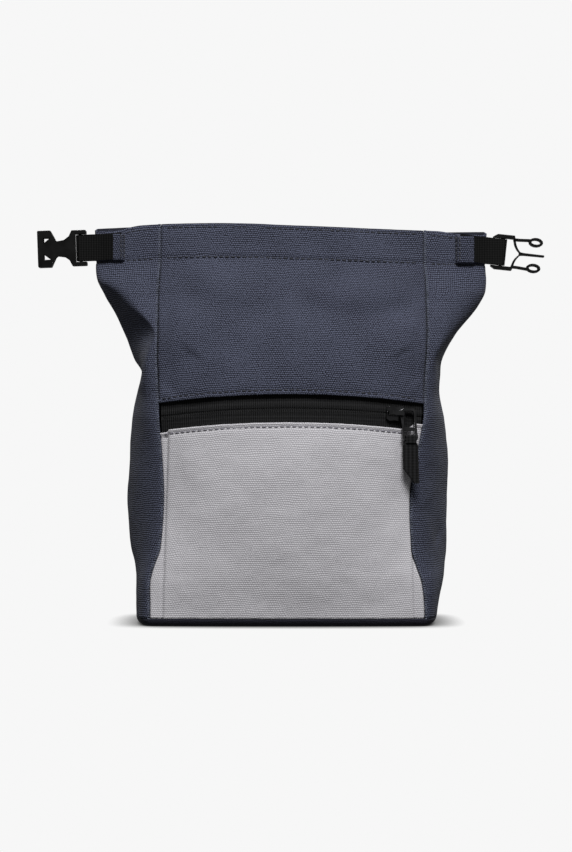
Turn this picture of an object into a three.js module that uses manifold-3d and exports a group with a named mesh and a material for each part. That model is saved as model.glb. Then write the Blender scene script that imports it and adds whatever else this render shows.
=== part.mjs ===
// A climbing chalk bag with a roll-top mouth, standing open and unrolled on its base. The body is a boxy
// fabric pot whose upper half tapers to a flat mouth with two folded ears. Each ear carries a webbing tab
// and one half of a side-release buckle. A zipped pocket covers the lower front.
//
// Millimetres, +Z up, X runs across the mouth, the pocket faces -Y, and the origin is the centre of the
// flat underside. Every fabric panel is a patch of one lofted shell, cut along the seams.

import * as THREE from "three";
import Module from "manifold-3d";
import { mergeVertices } from "three/addons/utils/BufferGeometryUtils.js";

const wasm = await Module();
wasm.setup();

// Bag body
const BAG_HEIGHT = 235; // floor to rim
const FRONT_WIDTH = 160; // seam to seam at the foot of the front
const BODY_WIDTH = 190; // over the bulging side walls
const BODY_DEPTH = 94; // front seams to back seams at the foot
const MOUTH_WIDTH = 232; // ear tip to ear tip
const MOUTH_DEPTH = 13; // front seams to back seams at the rim
const FRONT_CROWN = 16; // how far the middle of the front stands out past its seams
const BACK_CROWN = 12; // the same for the back
const CROWN_FULLNESS = 2.4; // 2 for an even arch, more for one that falls off beside the seams
const SIDE_SWELL = 8; // how far a side wall rolls out beside its corners
const EAR_EDGE = 1.6; // half the thickness of the folded edge of an ear
const FOOT_RADIUS = 4.2; // rounding where the walls turn under the base
const RIM_DROP = 4.5; // how far the rim sinks towards the right ear
const WALL = 1.6; // laminated fabric
const SEAM_GAP = 0.5; // clearance between two sewn panels
const PIECE_GAP = 0.3; // clearance between pieces that lie on each other

// Front pocket and zipper
const ZIP_TOP = 134; // height of the zipper opening's upper edge at mid-front
const ZIP_OPENING = 16.4; // visible height of the zipper
const ZIP_DROP = 5.5; // how far both ends of the zipper hang below its middle
const ZIP_END_LIFT = 4; // how much the lower edge rises again beside the right seam
const TAPE = 1.0; // thickness of the zipper tape
const TAPE_OVERLAP = 6; // how far a tape reaches behind the panel that it is sewn to
const CHAIN_WIDTH = 6; // closed coil
const CHAIN_THICKNESS = 1.8;
const POCKET_ROOM = 3.5; // hollow behind the pocket panel
const LINER = 1.0; // the pocket's inner wall
const PLEAT_INSET = 8; // from the front seam to the pleat of the pocket
const PLEAT_STEP = 0.9; // how far the pocket stands out past its pleats
const ROOM_FADE = 35; // height below the zipper's top over which the pocket closes
const LINER_MARGIN = 3.2; // clearance between the inner wall's edges and the side seams
const TAPE_MARGIN = 1.2; // the same for the zipper's tapes and coil

// Slider, link and fabric pull
const SLIDER_INSET = 18.7; // from half the front's width to the slider's middle
const SLIDER_LENGTH = 11;
const SLIDER_WIDTH = 9.5;
const SLIDER_PLATE = 1.7; // thickness of its upper plate
const POST_WIDTH = 2.4; // the post that stands between the tapes
const POST_LENGTH = 6;
const LUG_ROOM = 3; // height of the lug above the link's thickness
const LUG_BAND = 1.1;
const LUG_LENGTH = 10.4;
const LUG_WIDTH = 2.4;
const LINK_WIDTH = 9.8;
const LINK_LENGTH = 19;
const LINK_HEAD = 3.6; // how far the link reaches above the lug's middle
const LINK_THICKNESS = 1.6;
const LINK_RIM = 1.5;
const LINK_SLOT = 4.2; // height of the slot that holds the fabric pull
const LINK_LEAN = THREE.MathUtils.degToRad(8);
const PULL_WIDTH = 8.8;
const PULL_LENGTH = 25.5;
const PULL_THICKNESS = 2.4;

// Webbing and buckle. The halves are drawn lying along u, which runs out from the ear tip.
const WEBBING_WIDTH = 15.6;
const WEBBING = 1.3; // thickness
const TAB_ANCHOR = 16.5; // how far inboard of the ear tip a webbing tab is sewn in
const TAB_DROP = 11.2; // from the rim down to the middle of the webbing
const SLOT_PLAY = 0.5; // clearance beside the webbing in a buckle's slot
const BAR_RADIUS = 1.1;
const BUCKLE_WIDTH = 21.8;
const BUCKLE_THICKNESS = 7.6;
const SOCKET_DROOP = THREE.MathUtils.degToRad(2);
const SOCKET_START = 5; // from the ear tip to the body
const SOCKET_LIP = 3.6; // from the body's start to its bar
const SOCKET_WEB = 2; // plastic past the webbing's slot, up to the waist
const WAIST_LENGTH = 12.6;
const BLOCK_LENGTH = 7.8; // the full-width end that takes the prongs
const SOCKET_FLOOR = 3.2; // plastic between the webbing's slot and the hollow
const SOCKET_WIDTH = 16.6;
const SOCKET_HEIGHT = 5;
const PRONG_DROOP = THREE.MathUtils.degToRad(6);
const PRONG_PLAY = 0.6; // clearance above and below the prongs in the socket
const FRAME_WIDTH = 20.8;
const FRAME_THICKNESS = 6;
const FRAME_START = 3.5; // from the ear tip to the frame
const FRAME_LIP = 5.8; // from the frame's start to its bar
const FRAME_LENGTH = 12.6;
const CHAMFER = 0.4;
const ARC_RISE = 4; // from the frame to where the two arcs meet
const ARC_BAND = 1.3;
const ARM_BAND = 1.6;
const LOOP_AT = 12.9; // from the frame to the middle of a prong's loop
const LOOP_LENGTH = 8.6;
const LOOP_WIDTH = 5.6;
const LOOP_RIM = 1.6;
const PIN_REACH = 18.7; // from the frame to the tip of the guide pin
const FUSE = 0.5; // how far two parts of one solid reach into each other

// Mesh steps
const SIDE_STEPS = 20;
const CORNER_STEPS = 4; // those of a side's steps that lie between a seam and the corner beside it
const FACE_STEPS = 12;
const PROFILE_STEPS = 160; // fine points of a side wall's curve before it is cut into equal steps
// Rows of the walls from the base to the rim, closer together where the sides fold. Shares of the height.
const ROWS = [
  0, 0.055, 0.1, 0.145, 0.195, 0.25, 0.31, 0.37, 0.43, 0.49, 0.535, 0.57, 0.6, 0.63, 0.66, 0.69, 0.72, 0.75,
  0.78, 0.81, 0.84, 0.87, 0.905, 0.95, 1,
];

// Sections of the body, foot to rim. at: share of the height. seam: share of half the front's width.
// depth: 0 at the mouth's depth and 1 at the body's. crown: share of the front's and back's crown.
// flare: 0 where a side reaches half the body's width and 1 at half the mouth's. swell: share of the
// side's swell. full: 1 for a wedge-shaped side, more for a rounder or boxier one, less for a pinched one.
// facet: 0 where a side reaches straight out to its tip, more where a flat facet cuts the corner off, up
// to 1 where that facet begins at the seam. L and R are the two sides.
const SECTION_COLUMNS = [
  "at", "seamL", "seamR", "depth", "crown", "flareL", "flareR",
  "swellL", "swellR", "fullL", "fullR", "facetL", "facetR",
];
const SECTIONS = [
  [0.0, 1.0, 0.98, 1.0, 0.16, -0.25, -0.39, 0.0, 0.0, 2.4, 2.4, 0.0, 0.0],
  [0.05, 1.0, 0.98, 1.0, 0.25, -0.24, -0.31, 0.0, 0.0, 2.3, 2.3, 0.0, 0.0],
  [0.11, 1.0, 0.96, 0.99, 0.44, -0.23, -0.16, 0.0, 0.0, 2.1, 2.1, 0.0, 0.0],
  [0.15, 0.97, 0.92, 0.97, 0.56, -0.17, -0.1, 0.0, 0.0, 1.8, 1.8, 0.0, 0.0],
  [0.19, 0.93, 0.89, 0.95, 0.68, -0.07, -0.06, 0.05, 0.1, 1.6, 1.6, 0.0, 0.0],
  [0.31, 0.905, 0.88, 0.9, 0.94, 0.03, -0.04, 0.05, 0.1, 1.45, 1.45, 0.0, 0.0],
  [0.42, 0.92, 0.93, 0.88, 1.0, -0.04, -0.01, 0.1, 0.1, 1.4, 1.4, 0.0, 0.0],
  [0.51, 0.94, 0.98, 0.85, 0.97, -0.1, -0.12, 0.2, 0.15, 1.4, 1.4, 0.0, 0.0],
  [0.58, 0.945, 0.985, 0.81, 0.92, -0.25, -0.25, 0.3, 0.2, 1.6, 1.6, 0.0, 0.1],
  [0.625, 0.95, 0.99, 0.775, 0.87, -0.38, -0.22, 0.2, 0.1, 3.5, 3.0, 0.2, 0.38],
  [0.66, 0.955, 1.0, 0.74, 0.81, -0.18, -0.17, 0.1, 0.05, 7.0, 5.0, 0.55, 0.45],
  [0.72, 0.955, 1.01, 0.65, 0.69, 0.1, 0.16, 0.0, 0.0, 10.0, 3.0, 0.9, 0.05],
  [0.78, 0.955, 1.01, 0.5, 0.56, 0.39, 0.69, 0.0, 0.0, 10.0, 2.2, 0.52, 0.0],
  [0.83, 0.955, 1.01, 0.35, 0.44, 0.7, 1.02, 0.0, 0.0, 6.0, 1.9, 0.27, 0.0],
  [0.87, 0.95, 1.01, 0.22, 0.34, 0.9, 1.07, 0.0, 0.0, 2.0, 1.3, 0.05, 0.0],
  [0.91, 0.945, 1.0, 0.11, 0.25, 0.94, 1.06, 0.0, 0.0, 0.95, 0.95, 0.0, 0.0],
  [1.0, 0.945, 1.0, 0.0, 0.17, 0.94, 1.06, 0.0, 0.0, 0.95, 0.95, 0.0, 0.0],
].map((row) => Object.fromEntries(row.map((value, i) => [SECTION_COLUMNS[i], value])));

// Height of the rim along the mouth. across: share of half the mouth's width. lift: share of the rim's drop.
const RIM = [
  { across: -1.0, lift: -0.5 },
  { across: -0.62, lift: 0.05 },
  { across: -0.3, lift: 0.1 },
  { across: 0.0, lift: -0.15 },
  { across: 0.66, lift: -0.8 },
  { across: 1.0, lift: -0.9 },
];
const RIM_FROM = 0.7; // share of the height where the rim's drop begins

// Soft folds of the front. An arc runs from one end to the other and sags between them. x: share of half
// the front's width. at and sag: shares of the height. rise: share of the front's crown, below 0 for a
// valley. spread: share of the height across the fold.
const FRONT_FOLDS = [
  { x0: -0.85, at0: 0.865, x1: 0.02, at1: 0.82, sag: 0.035, rise: 0.11, spread: 0.028 },
  { x0: -0.8, at0: 0.8, x1: 0.02, at1: 0.77, sag: 0.045, rise: -0.11, spread: 0.032 },
  { x0: -0.02, at0: 0.83, x1: 0.95, at1: 0.81, sag: 0.04, rise: 0.11, spread: 0.028 },
  { x0: 0.0, at0: 0.78, x1: 0.95, at1: 0.76, sag: 0.05, rise: -0.11, spread: 0.032 },
  { x0: -0.95, at0: 0.57, x1: -0.7, at1: 0.68, sag: 0.0, rise: -0.13, spread: 0.035 },
  { x0: 0.97, at0: 0.6, x1: 0.8, at1: 0.68, sag: 0.0, rise: -0.11, spread: 0.03 },
];

// Creases of the side walls between their front seam (q = -1), mid-side (0) and back seam (1), with the
// same columns as above. rise: share of the side's swell.
const SIDE_FOLDS = {
  L: [{ q0: -0.5, at0: 0.5, q1: -0.4, at1: 0.15, rise: 0.1, spread: 0.05 }],
  R: [{ q0: -0.9, at0: 0.3, q1: -0.5, at1: 0.2, rise: -0.25, spread: 0.04 }],
};

const clamp = THREE.MathUtils.clamp;
const lerp = THREE.MathUtils.lerp;
const smooth = THREE.MathUtils.smoothstep;

// A column of a table at one key, on a smooth curve through the rows.
function column(table, key, name, value) {
  const last = table.length - 1;
  let i = 0;
  while (i < last - 1 && value > table[i + 1][key]) i += 1;
  const [a, b] = [table[i], table[i + 1]];
  const span = b[key] - a[key];
  const t = clamp((value - a[key]) / span, 0, 1);
  const slope = (j) => {
    const [p, q] = [table[Math.max(j - 1, 0)], table[Math.min(j + 1, last)]];
    return ((q[name] - p[name]) / (q[key] - p[key])) * span;
  };
  const [t2, t3] = [t * t, t * t * t];
  return (
    a[name] * (2 * t3 - 3 * t2 + 1) +
    slope(i) * (t3 - 2 * t2 + t) +
    b[name] * (3 * t2 - 2 * t3) +
    slope(i + 1) * (t3 - t2)
  );
}

// The shell's section at a height, in millimetres, with every wall moved in by inset.
function section(z, inset = 0) {
  const at = clamp(z / BAG_HEIGHT, 0, 1);
  const get = (name) => column(SECTIONS, "at", name, at);
  const low = clamp(z / FOOT_RADIUS, 0, 1);
  const tuck = FOOT_RADIUS * (1 - Math.sqrt(1 - (1 - low) ** 2));
  const side = (letter) => {
    const seam = (get("seam" + letter) * FRONT_WIDTH) / 2 - tuck;
    const tip = lerp(BODY_WIDTH, MOUTH_WIDTH, get("flare" + letter)) / 2 - tuck;
    const swell = get("swell" + letter) * SIDE_SWELL;
    return { seam, reach: tip - seam, swell, full: get("full" + letter), facet: get("facet" + letter) };
  };
  const depth = lerp(MOUTH_DEPTH, BODY_DEPTH, get("depth")) / 2 - tuck;
  const made = { at, depth, crown: get("crown"), edge: EAR_EDGE, L: side("L"), R: side("R") };
  for (const one of [made.L, made.R]) one.reach -= inset * clamp(one.reach / depth, 1, 3);
  made.depth -= inset;
  made.edge = Math.max(0, made.edge - inset);
  return made;
}

// Bell-shaped height of a fold at a point, where both are measured in shares of the bag's height.
function foldHeight(dx, dz, fold, run, sag) {
  const along = clamp((dx * run.x + dz * run.z) / (run.x ** 2 + run.z ** 2), 0, 1);
  const offX = dx - along * run.x;
  const offZ = dz - along * run.z + sag * 4 * along * (1 - along);
  const taper = smooth(along, 0, 0.15) * (1 - smooth(along, 0.85, 1));
  return fold.rise * taper * Math.exp(-(offX ** 2 + offZ ** 2) / fold.spread ** 2);
}

// How far the front stands out at x because of its folds.
function frontRelief(x, sec) {
  const half = x < 0 ? sec.L.seam : sec.R.seam;
  const scale = FRONT_WIDTH / 2 / BAG_HEIGHT;
  let sum = 0;
  for (const f of FRONT_FOLDS) {
    const run = { x: (f.x1 - f.x0) * scale, z: f.at1 - f.at0 };
    sum += foldHeight((x / half - f.x0) * scale, sec.at - f.at0, f, run, f.sag);
  }
  return sum * FRONT_CROWN;
}

// How far a side wall stands out at q because of its creases.
function sideRelief(letter, q, sec) {
  const scale = sec.depth / BAG_HEIGHT;
  let sum = 0;
  for (const f of SIDE_FOLDS[letter]) {
    const run = { x: (f.q1 - f.q0) * scale, z: f.at1 - f.at0 };
    sum += foldHeight((q - f.q0) * scale, sec.at - f.at0, f, run, 0);
  }
  return sum * SIDE_SWELL * (1 - q * q);
}

// Lowers the rim along its own line.
function settle(x, y, z) {
  const share = smooth(z / BAG_HEIGHT, RIM_FROM, 1);
  const lift = column(RIM, "across", "lift", clamp(x / (MOUTH_WIDTH / 2), -1, 1));
  return new THREE.Vector3(x, y, z + share * lift * RIM_DROP);
}

const arch = (share) => Math.max(0, 1 - Math.abs(share) ** CROWN_FULLNESS);

// A point of the front wall. in_ moves it into the bag.
function frontPoint(x, z, in_ = 0) {
  const sec = section(z);
  const half = x < 0 ? sec.L.seam : sec.R.seam;
  const crown = FRONT_CROWN * sec.crown * arch(x / half);
  const edge = smooth(1 - Math.abs(x / half), 0, 0.12);
  return settle(x, -(sec.depth + crown + frontRelief(x, sec) * edge) + in_, z);
}

function backPoint(x, z, in_ = 0) {
  const sec = section(z);
  const half = x < 0 ? sec.L.seam : sec.R.seam;
  const crown = BACK_CROWN * sec.crown * arch(x / half);
  return settle(x, sec.depth + crown - in_, z);
}

// Points of a side wall from its front seam round to its back seam.
function sideLine(letter, z, inset, steps) {
  const sec = section(z, inset);
  const { seam, reach, swell, full, facet } = sec[letter];
  const sign = letter === "L" ? -1 : 1;
  const line = [];
  for (let i = 0; i <= PROFILE_STEPS; i += 1) {
    const angle = Math.PI * (i / PROFILE_STEPS - 0.5);
    const q = Math.sign(angle) * Math.abs(Math.sin(angle)) ** (2 / full);
    const out = Math.cos(angle) ** (2 / full);
    const beside = Math.abs(q) ** 3;
    const roll = swell * 4 * beside * (1 - beside);
    const blunt = Math.sign(angle) * sec.edge * Math.sqrt(Math.max(0, 1 - out ** 8));
    const cornered = reach * out * (1 - facet * Math.abs(q));
    const x = seam + SEAM_GAP / 2 + Math.max(0, cornered + roll + sideRelief(letter, q, sec));
    line.push(new THREE.Vector2(sign * x, q * (sec.depth - sec.edge) + blunt));
  }
  return spaced(line, steps).map((p) => settle(p.x, p.y, z));
}

// The same line cut into steps, even from each seam to its corner and from there to the tip. Corners and
// tip stay points of it, so creases there keep their edge.
function spaced(line, steps) {
  const last = line.length - 1;
  const run = [0];
  for (let i = 1; i <= last; i += 1) run.push(run[i - 1] + line[i].distanceTo(line[i - 1]));
  const stops = [0, 0.25, 0.5, 0.75, 1].map((share) => run[share * last]);
  const tipSteps = steps / 2 - CORNER_STEPS;
  const made = [line[0].clone()];
  let i = 1;
  [CORNER_STEPS, tipSteps, tipSteps, CORNER_STEPS].forEach((count, part) => {
    for (let k = 1; k <= count; k += 1) {
      const want = lerp(stops[part], stops[part + 1], k / count);
      while (i < last && run[i] < want) i += 1;
      const t = clamp((want - run[i - 1]) / (run[i] - run[i - 1] || 1), 0, 1);
      made.push(line[i - 1].clone().lerp(line[i], t));
    }
  });
  return made;
}

// Edges of the zipper opening. They hang lower towards the side seams.
function zipEdge(x, fromTop) {
  const sag = (x / (FRONT_WIDTH / 2)) ** 2;
  return ZIP_TOP - fromTop - ZIP_DROP * sag;
}

// A closed mesh from corners and faces, turned so that its faces point out.
function closed(corners, faces) {
  const geometry = new THREE.BufferGeometry();
  geometry.setAttribute("position", new THREE.Float32BufferAttribute(corners.flatMap((p) => p.toArray()), 3));
  let volume = 0;
  const cross = new THREE.Vector3();
  for (const [a, b, c] of faces) volume += corners[a].dot(cross.crossVectors(corners[b], corners[c]));
  geometry.setIndex(faces.flatMap(([a, b, c]) => (volume < 0 ? [a, c, b] : [a, b, c])));
  geometry.computeVertexNormals();
  return geometry;
}

// A sheet between two grids of the same size, closed along its four edges.
function sheet(outer, inner) {
  const [rows, cols] = [outer.length, outer[0].length];
  const corners = [...outer.flat(), ...inner.flat()];
  const at = (layer, r, c) => layer * rows * cols + r * cols + c;
  const faces = [];
  const quad = (a, b, c, d) => faces.push([a, b, c], [a, c, d]);
  for (let r = 0; r < rows - 1; r += 1)
    for (let c = 0; c < cols - 1; c += 1) {
      quad(at(0, r, c), at(0, r, c + 1), at(0, r + 1, c + 1), at(0, r + 1, c));
      faces.push([at(1, r, c), at(1, r + 1, c + 1), at(1, r, c + 1)]);
      faces.push([at(1, r, c), at(1, r + 1, c), at(1, r + 1, c + 1)]);
    }
  const edge = (ring) => {
    for (let i = 0; i < ring.length - 1; i += 1) {
      const [[r0, c0], [r1, c1]] = [ring[i], ring[i + 1]];
      quad(at(0, r0, c0), at(1, r0, c0), at(1, r1, c1), at(0, r1, c1));
    }
  };
  const range = (n, put) => Array.from({ length: n }, (_, i) => put(i));
  edge(range(cols, (c) => [0, c]));
  edge(range(rows, (r) => [r, cols - 1]));
  edge(range(cols, (c) => [rows - 1, cols - 1 - c]));
  edge(range(rows, (r) => [rows - 1 - r, 0]));
  return closed(corners, faces);
}

// A front patch between two lower and upper edge functions of x, in_ deep and as thick as wall.
function frontPatch(bottom, top, in_, wall, rows, margin = SEAM_GAP / 2, cols = FACE_STEPS) {
  const grid = (depth) =>
    Array.from({ length: rows + 1 }, (_, r) =>
      Array.from({ length: cols + 1 }, (_, c) => {
        const share = (c / cols) * 2 - 1;
        const letter = share < 0 ? "L" : "R";
        const rough = share * (FRONT_WIDTH / 2);
        const z0 = lerp(bottom(rough), top(rough), r / rows);
        const x = share * (section(z0)[letter].seam - margin);
        return frontPoint(x, z0, depth(share, z0));
      }),
    );
  const near = typeof in_ === "function" ? in_ : () => in_;
  return sheet(
    grid(near),
    grid((share, z) => near(share, z) + wall),
  );
}

function solidOf(geometry) {
  const bare = new THREE.BufferGeometry();
  bare.setAttribute("position", geometry.getAttribute("position").clone());
  if (geometry.index) bare.setIndex(geometry.index.clone());
  const merged = mergeVertices(bare, 1e-4);
  const triVerts = new Uint32Array(merged.index.array);
  const vertProperties = new Float32Array(merged.attributes.position.array);
  return new wasm.Manifold(new wasm.Mesh({ numProp: 3, vertProperties, triVerts }));
}

function geometryOf(solid) {
  const { vertProperties, triVerts } = solid.getMesh();
  const geometry = new THREE.BufferGeometry();
  geometry.setAttribute("position", new THREE.BufferAttribute(new Float32Array(vertProperties), 3));
  geometry.setIndex(new THREE.BufferAttribute(new Uint32Array(triVerts), 1));
  geometry.computeVertexNormals();
  return geometry;
}

const united = (...parts) => geometryOf(parts.map(solidOf).reduce((a, b) => a.add(b)));
const cutBy = (body, ...tools) =>
  geometryOf(tools.map(solidOf).reduce((a, b) => a.subtract(b), solidOf(body)));

// An outline with holes, pulled up to a height. The points of the outline run counterclockwise.
function pulled(points, height, holes = []) {
  const flat = (list) => list.map(([x, y]) => new THREE.Vector2(x, y));
  const outline = flat(points);
  if (THREE.ShapeUtils.isClockWise(outline)) outline.reverse();
  const shape = new THREE.Shape(outline);
  for (const hole of holes) shape.holes.push(new THREE.Path(flat(hole)));
  return new THREE.ExtrudeGeometry(shape, { depth: height, bevelEnabled: false });
}

// A flat outline in the plane of X and Z, as thick as given along Y and centred on Y = 0.
function plate(points, thickness, holes = []) {
  return pulled(points, thickness, holes).translate(0, 0, -thickness / 2).rotateX(Math.PI / 2);
}

function box(x0, x1, y0, y1, z0, z1) {
  const geometry = new THREE.BoxGeometry(x1 - x0, y1 - y0, z1 - z0);
  return geometry.translate((x0 + x1) / 2, (y0 + y1) / 2, (z0 + z1) / 2);
}

function ellipse(x, z, halfX, halfZ, steps = 14) {
  return Array.from({ length: steps }, (_, i) => {
    const angle = (2 * Math.PI * i) / steps;
    return [x + halfX * Math.cos(angle), z + halfZ * Math.sin(angle)];
  });
}

const mirrored = (points) => [...points, ...points.map(([x, z]) => [x, -z]).reverse()];

// Turns a profile drawn over Y and Z, and pulled along X, into place.
const yAcross = new THREE.Matrix4().makeBasis(
  new THREE.Vector3(0, 1, 0),
  new THREE.Vector3(0, 0, 1),
  new THREE.Vector3(1, 0, 0),
);

// Materials
const paint = (color, roughness, metalness = 0) =>
  new THREE.MeshStandardMaterial({ color, roughness, metalness });
const NAVY = paint(0x3c4056, 0.9);
const BASE_NAVY = paint(0x1b1c28, 0.9);
const LIGHT_GREY = paint(0xb4b2b9, 0.9);
const BLACK_TAPE = paint(0x17181a, 0.85);
const BLACK_PLASTIC = paint(0x151617, 0.45);
const BLACK_METAL = paint(0x0f1012, 0.35, 0.6);

const bag = new THREE.Group();
function add(name, geometry, material, parent = bag) {
  const mesh = new THREE.Mesh(geometry, material);
  mesh.name = name;
  parent.add(mesh);
  return mesh;
}

// Heights of the mesh rows between the base and the rim.
const wallFoot = FOOT_RADIUS + PIECE_GAP;
const wallRows = ROWS.map((share) => lerp(wallFoot, BAG_HEIGHT, share));

// Side panels: each runs from its front seam over the ear to its back seam.
for (const [letter, name] of [["L", "side_panel_left"], ["R", "side_panel_right"]]) {
  const outer = wallRows.map((z) => sideLine(letter, z, 0, SIDE_STEPS));
  const inner = wallRows.map((z) => sideLine(letter, z, WALL, SIDE_STEPS));
  add(name, sheet(outer, inner), NAVY);
}

// Back panel
{
  const grid = (in_) =>
    wallRows.map((z) =>
      Array.from({ length: FACE_STEPS + 1 }, (_, c) => {
        const share = (c / FACE_STEPS) * 2 - 1;
        const seam = section(z)[share < 0 ? "L" : "R"].seam - SEAM_GAP / 2;
        return backPoint(share * seam, z, in_);
      }),
    );
  add("back_panel", sheet(grid(0), grid(WALL)), NAVY);
}

// Base: a flat bottom whose edge turns up into a low lip.
{
  const ring = (z, inset, lower) => {
    const sec = section(z, inset);
    const points = [];
    const xs = Array.from({ length: FACE_STEPS }, (_, c) => (c / FACE_STEPS) * 2 - 1);
    const face = (share, side) => {
      const x = share * (share < 0 ? sec.L.seam : sec.R.seam);
      const crown = (side < 0 ? FRONT_CROWN : BACK_CROWN) * sec.crown * arch(share);
      return new THREE.Vector3(x, side * (sec.depth + crown), lower);
    };
    const wall = (letter) => sideLine(letter, z, inset, SIDE_STEPS).map((p) => p.setZ(lower));
    for (const share of xs) points.push(face(share, -1));
    points.push(...wall("R").slice(0, -1));
    for (const share of xs) points.push(face(-share, 1));
    points.push(...wall("L").slice(1).reverse());
    return points;
  };
  const lipSteps = [0, 0.12, 0.35, 0.65, 1];
  const rings = lipSteps.map((share) => ring(share * FOOT_RADIUS, 0, share * FOOT_RADIUS));
  for (const share of [...lipSteps].reverse()) {
    const height = lerp(WALL, FOOT_RADIUS, share);
    rings.push(ring(share * FOOT_RADIUS, WALL, height));
  }
  const count = rings[0].length;
  const corners = [...rings.flat(), new THREE.Vector3(0, 0, 0), new THREE.Vector3(0, 0, WALL)];
  const [under, over] = [corners.length - 2, corners.length - 1];
  const faces = [];
  for (let i = 0; i < count; i += 1) {
    const j = (i + 1) % count;
    const lastRing = (rings.length - 1) * count;
    faces.push([under, j, i], [over, lastRing + i, lastRing + j]);
    for (let r = 0; r < rings.length - 1; r += 1) {
      const [a, b] = [r * count, (r + 1) * count];
      faces.push([a + i, a + j, b + j], [a + i, b + j, b + i]);
    }
  }
  add("base_panel", closed(corners, faces), BASE_NAVY);
}

// Front: the upper panel, the pocket panel below the zipper and the pocket's inner wall.
const zipTop = (x) => zipEdge(x, 0);
const zipFoot = (x) => zipEdge(x, ZIP_OPENING) + ZIP_END_LIFT * smooth(x / (FRONT_WIDTH / 2), 0.84, 0.93);
add("front_upper_panel", frontPatch(zipTop, () => BAG_HEIGHT, 0, WALL, 12), NAVY);
{
  const pleat = 1 - PLEAT_INSET / (FRONT_WIDTH / 2);
  const step = (share) => PLEAT_STEP * smooth(Math.abs(share), pleat - 0.02, pleat + 0.06);
  add("pocket_panel", frontPatch(() => wallFoot, zipFoot, step, WALL, 13, SEAM_GAP / 2, 20), LIGHT_GREY);
}
const tapeDepth = WALL + PLEAT_STEP + PIECE_GAP;
const linerTop = (x) => zipEdge(x, -TAPE_OVERLAP);
const chainDepth = tapeDepth + TAPE + PIECE_GAP;
const linerDepth = (share, z) => {
  const room = POCKET_ROOM * (1 - share ** 4) * (1 - smooth(z, ZIP_TOP - ROOM_FADE, ZIP_TOP));
  return chainDepth + CHAIN_THICKNESS + PIECE_GAP + room;
};
add("pocket_liner", frontPatch(() => wallFoot, linerTop, linerDepth, LINER, 12, LINER_MARGIN), NAVY);

// Slider frame: on the tapes, at its place along the zipper.
const chainLine = (x) => zipEdge(x, ZIP_OPENING / 2);
function onZipper(x) {
  const here = frontPoint(x, chainLine(x), tapeDepth);
  const along = frontPoint(x + 1, chainLine(x + 1), tapeDepth).sub(here).normalize();
  const up = frontPoint(x, chainLine(x) + 1, tapeDepth).sub(here).normalize();
  const inward = new THREE.Vector3().crossVectors(up, along).negate().normalize();
  const level = new THREE.Vector3().crossVectors(along, inward).normalize();
  if (level.z < 0) level.negate();
  const outwardY = new THREE.Vector3().crossVectors(level, along);
  const matrix = new THREE.Matrix4().makeBasis(along, outwardY, level);
  return matrix.setPosition(here);
}
const sliderFrame = onZipper(FRONT_WIDTH / 2 - SLIDER_INSET);

// Zipper: two tapes that meet in the middle and the closed coil behind them.
{
  const middle = chainLine;
  const slotL = POST_LENGTH / 2 + PIECE_GAP;
  const slotW = POST_WIDTH / 2 + PIECE_GAP;
  const through = chainDepth + CHAIN_THICKNESS;
  const slot = box(-slotL, slotL, -through, through, -slotW, slotW).applyMatrix4(sliderFrame);
  const strip = (bottom, top, depth, thickness) =>
    cutBy(frontPatch(bottom, top, depth, thickness, 2, TAPE_MARGIN, 16), slot);
  const halfGap = PIECE_GAP / 2;
  const upperTape = strip((x) => middle(x) + halfGap, (x) => zipTop(x) + TAPE_OVERLAP, tapeDepth, TAPE);
  const lowerTape = strip((x) => zipFoot(x) - TAPE_OVERLAP, (x) => middle(x) - halfGap, tapeDepth, TAPE);
  const chainHalf = CHAIN_WIDTH / 2;
  const coil = strip((x) => middle(x) - chainHalf, (x) => middle(x) + chainHalf, chainDepth, CHAIN_THICKNESS);
  add("zipper_tape_upper", upperTape, BLACK_TAPE);
  add("zipper_tape_lower", lowerTape, BLACK_TAPE);
  add("zipper_coil", coil, BLACK_TAPE);
}

// Slider: a top plate with a lug and a post. In its own frame +Y points into the bag.
const sliderGroup = new THREE.Group();
sliderGroup.applyMatrix4(sliderFrame);
bag.add(sliderGroup);
const plateTop = -PIECE_GAP - SLIDER_PLATE;
const lugHeight = LINK_THICKNESS + LUG_ROOM;
const lugHalf = LUG_LENGTH / 2;
{
  const [halfL, halfW] = [SLIDER_LENGTH / 2, SLIDER_WIDTH / 2];
  const nose = mirrored([
    [-halfL, halfW * 0.72],
    [-halfL * 0.7, halfW * 0.95],
    [0, halfW * 0.82],
    [halfL * 0.75, halfW],
    [halfL, halfW * 0.8],
  ]);
  const body = plate(nose, SLIDER_PLATE).translate(0, plateTop + SLIDER_PLATE / 2, 0);
  const [postL, postW] = [POST_LENGTH / 2, POST_WIDTH / 2];
  const post = box(-postL, postL, plateTop + FUSE, TAPE + PIECE_GAP, -postW, postW);
  // An arched outline over Y, half to each side, that begins at y and stands as high as height.
  const arched = (half, y, height) => [
    [-half, y],
    [-half, -height * 0.58],
    [-half * 0.67, -height],
    [half * 0.67, -height],
    [half, -height * 0.58],
    [half, y],
  ];
  const lugEye = arched(lugHalf - LUG_BAND, -PIECE_GAP, lugHeight - LUG_BAND);
  const lug = pulled(arched(lugHalf, FUSE, lugHeight), LUG_WIDTH, [lugEye]);
  lug.translate(0, plateTop, -LUG_WIDTH / 2);
  add("zipper_slider", united(body, post, lug), BLACK_METAL, sliderGroup);
}

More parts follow.
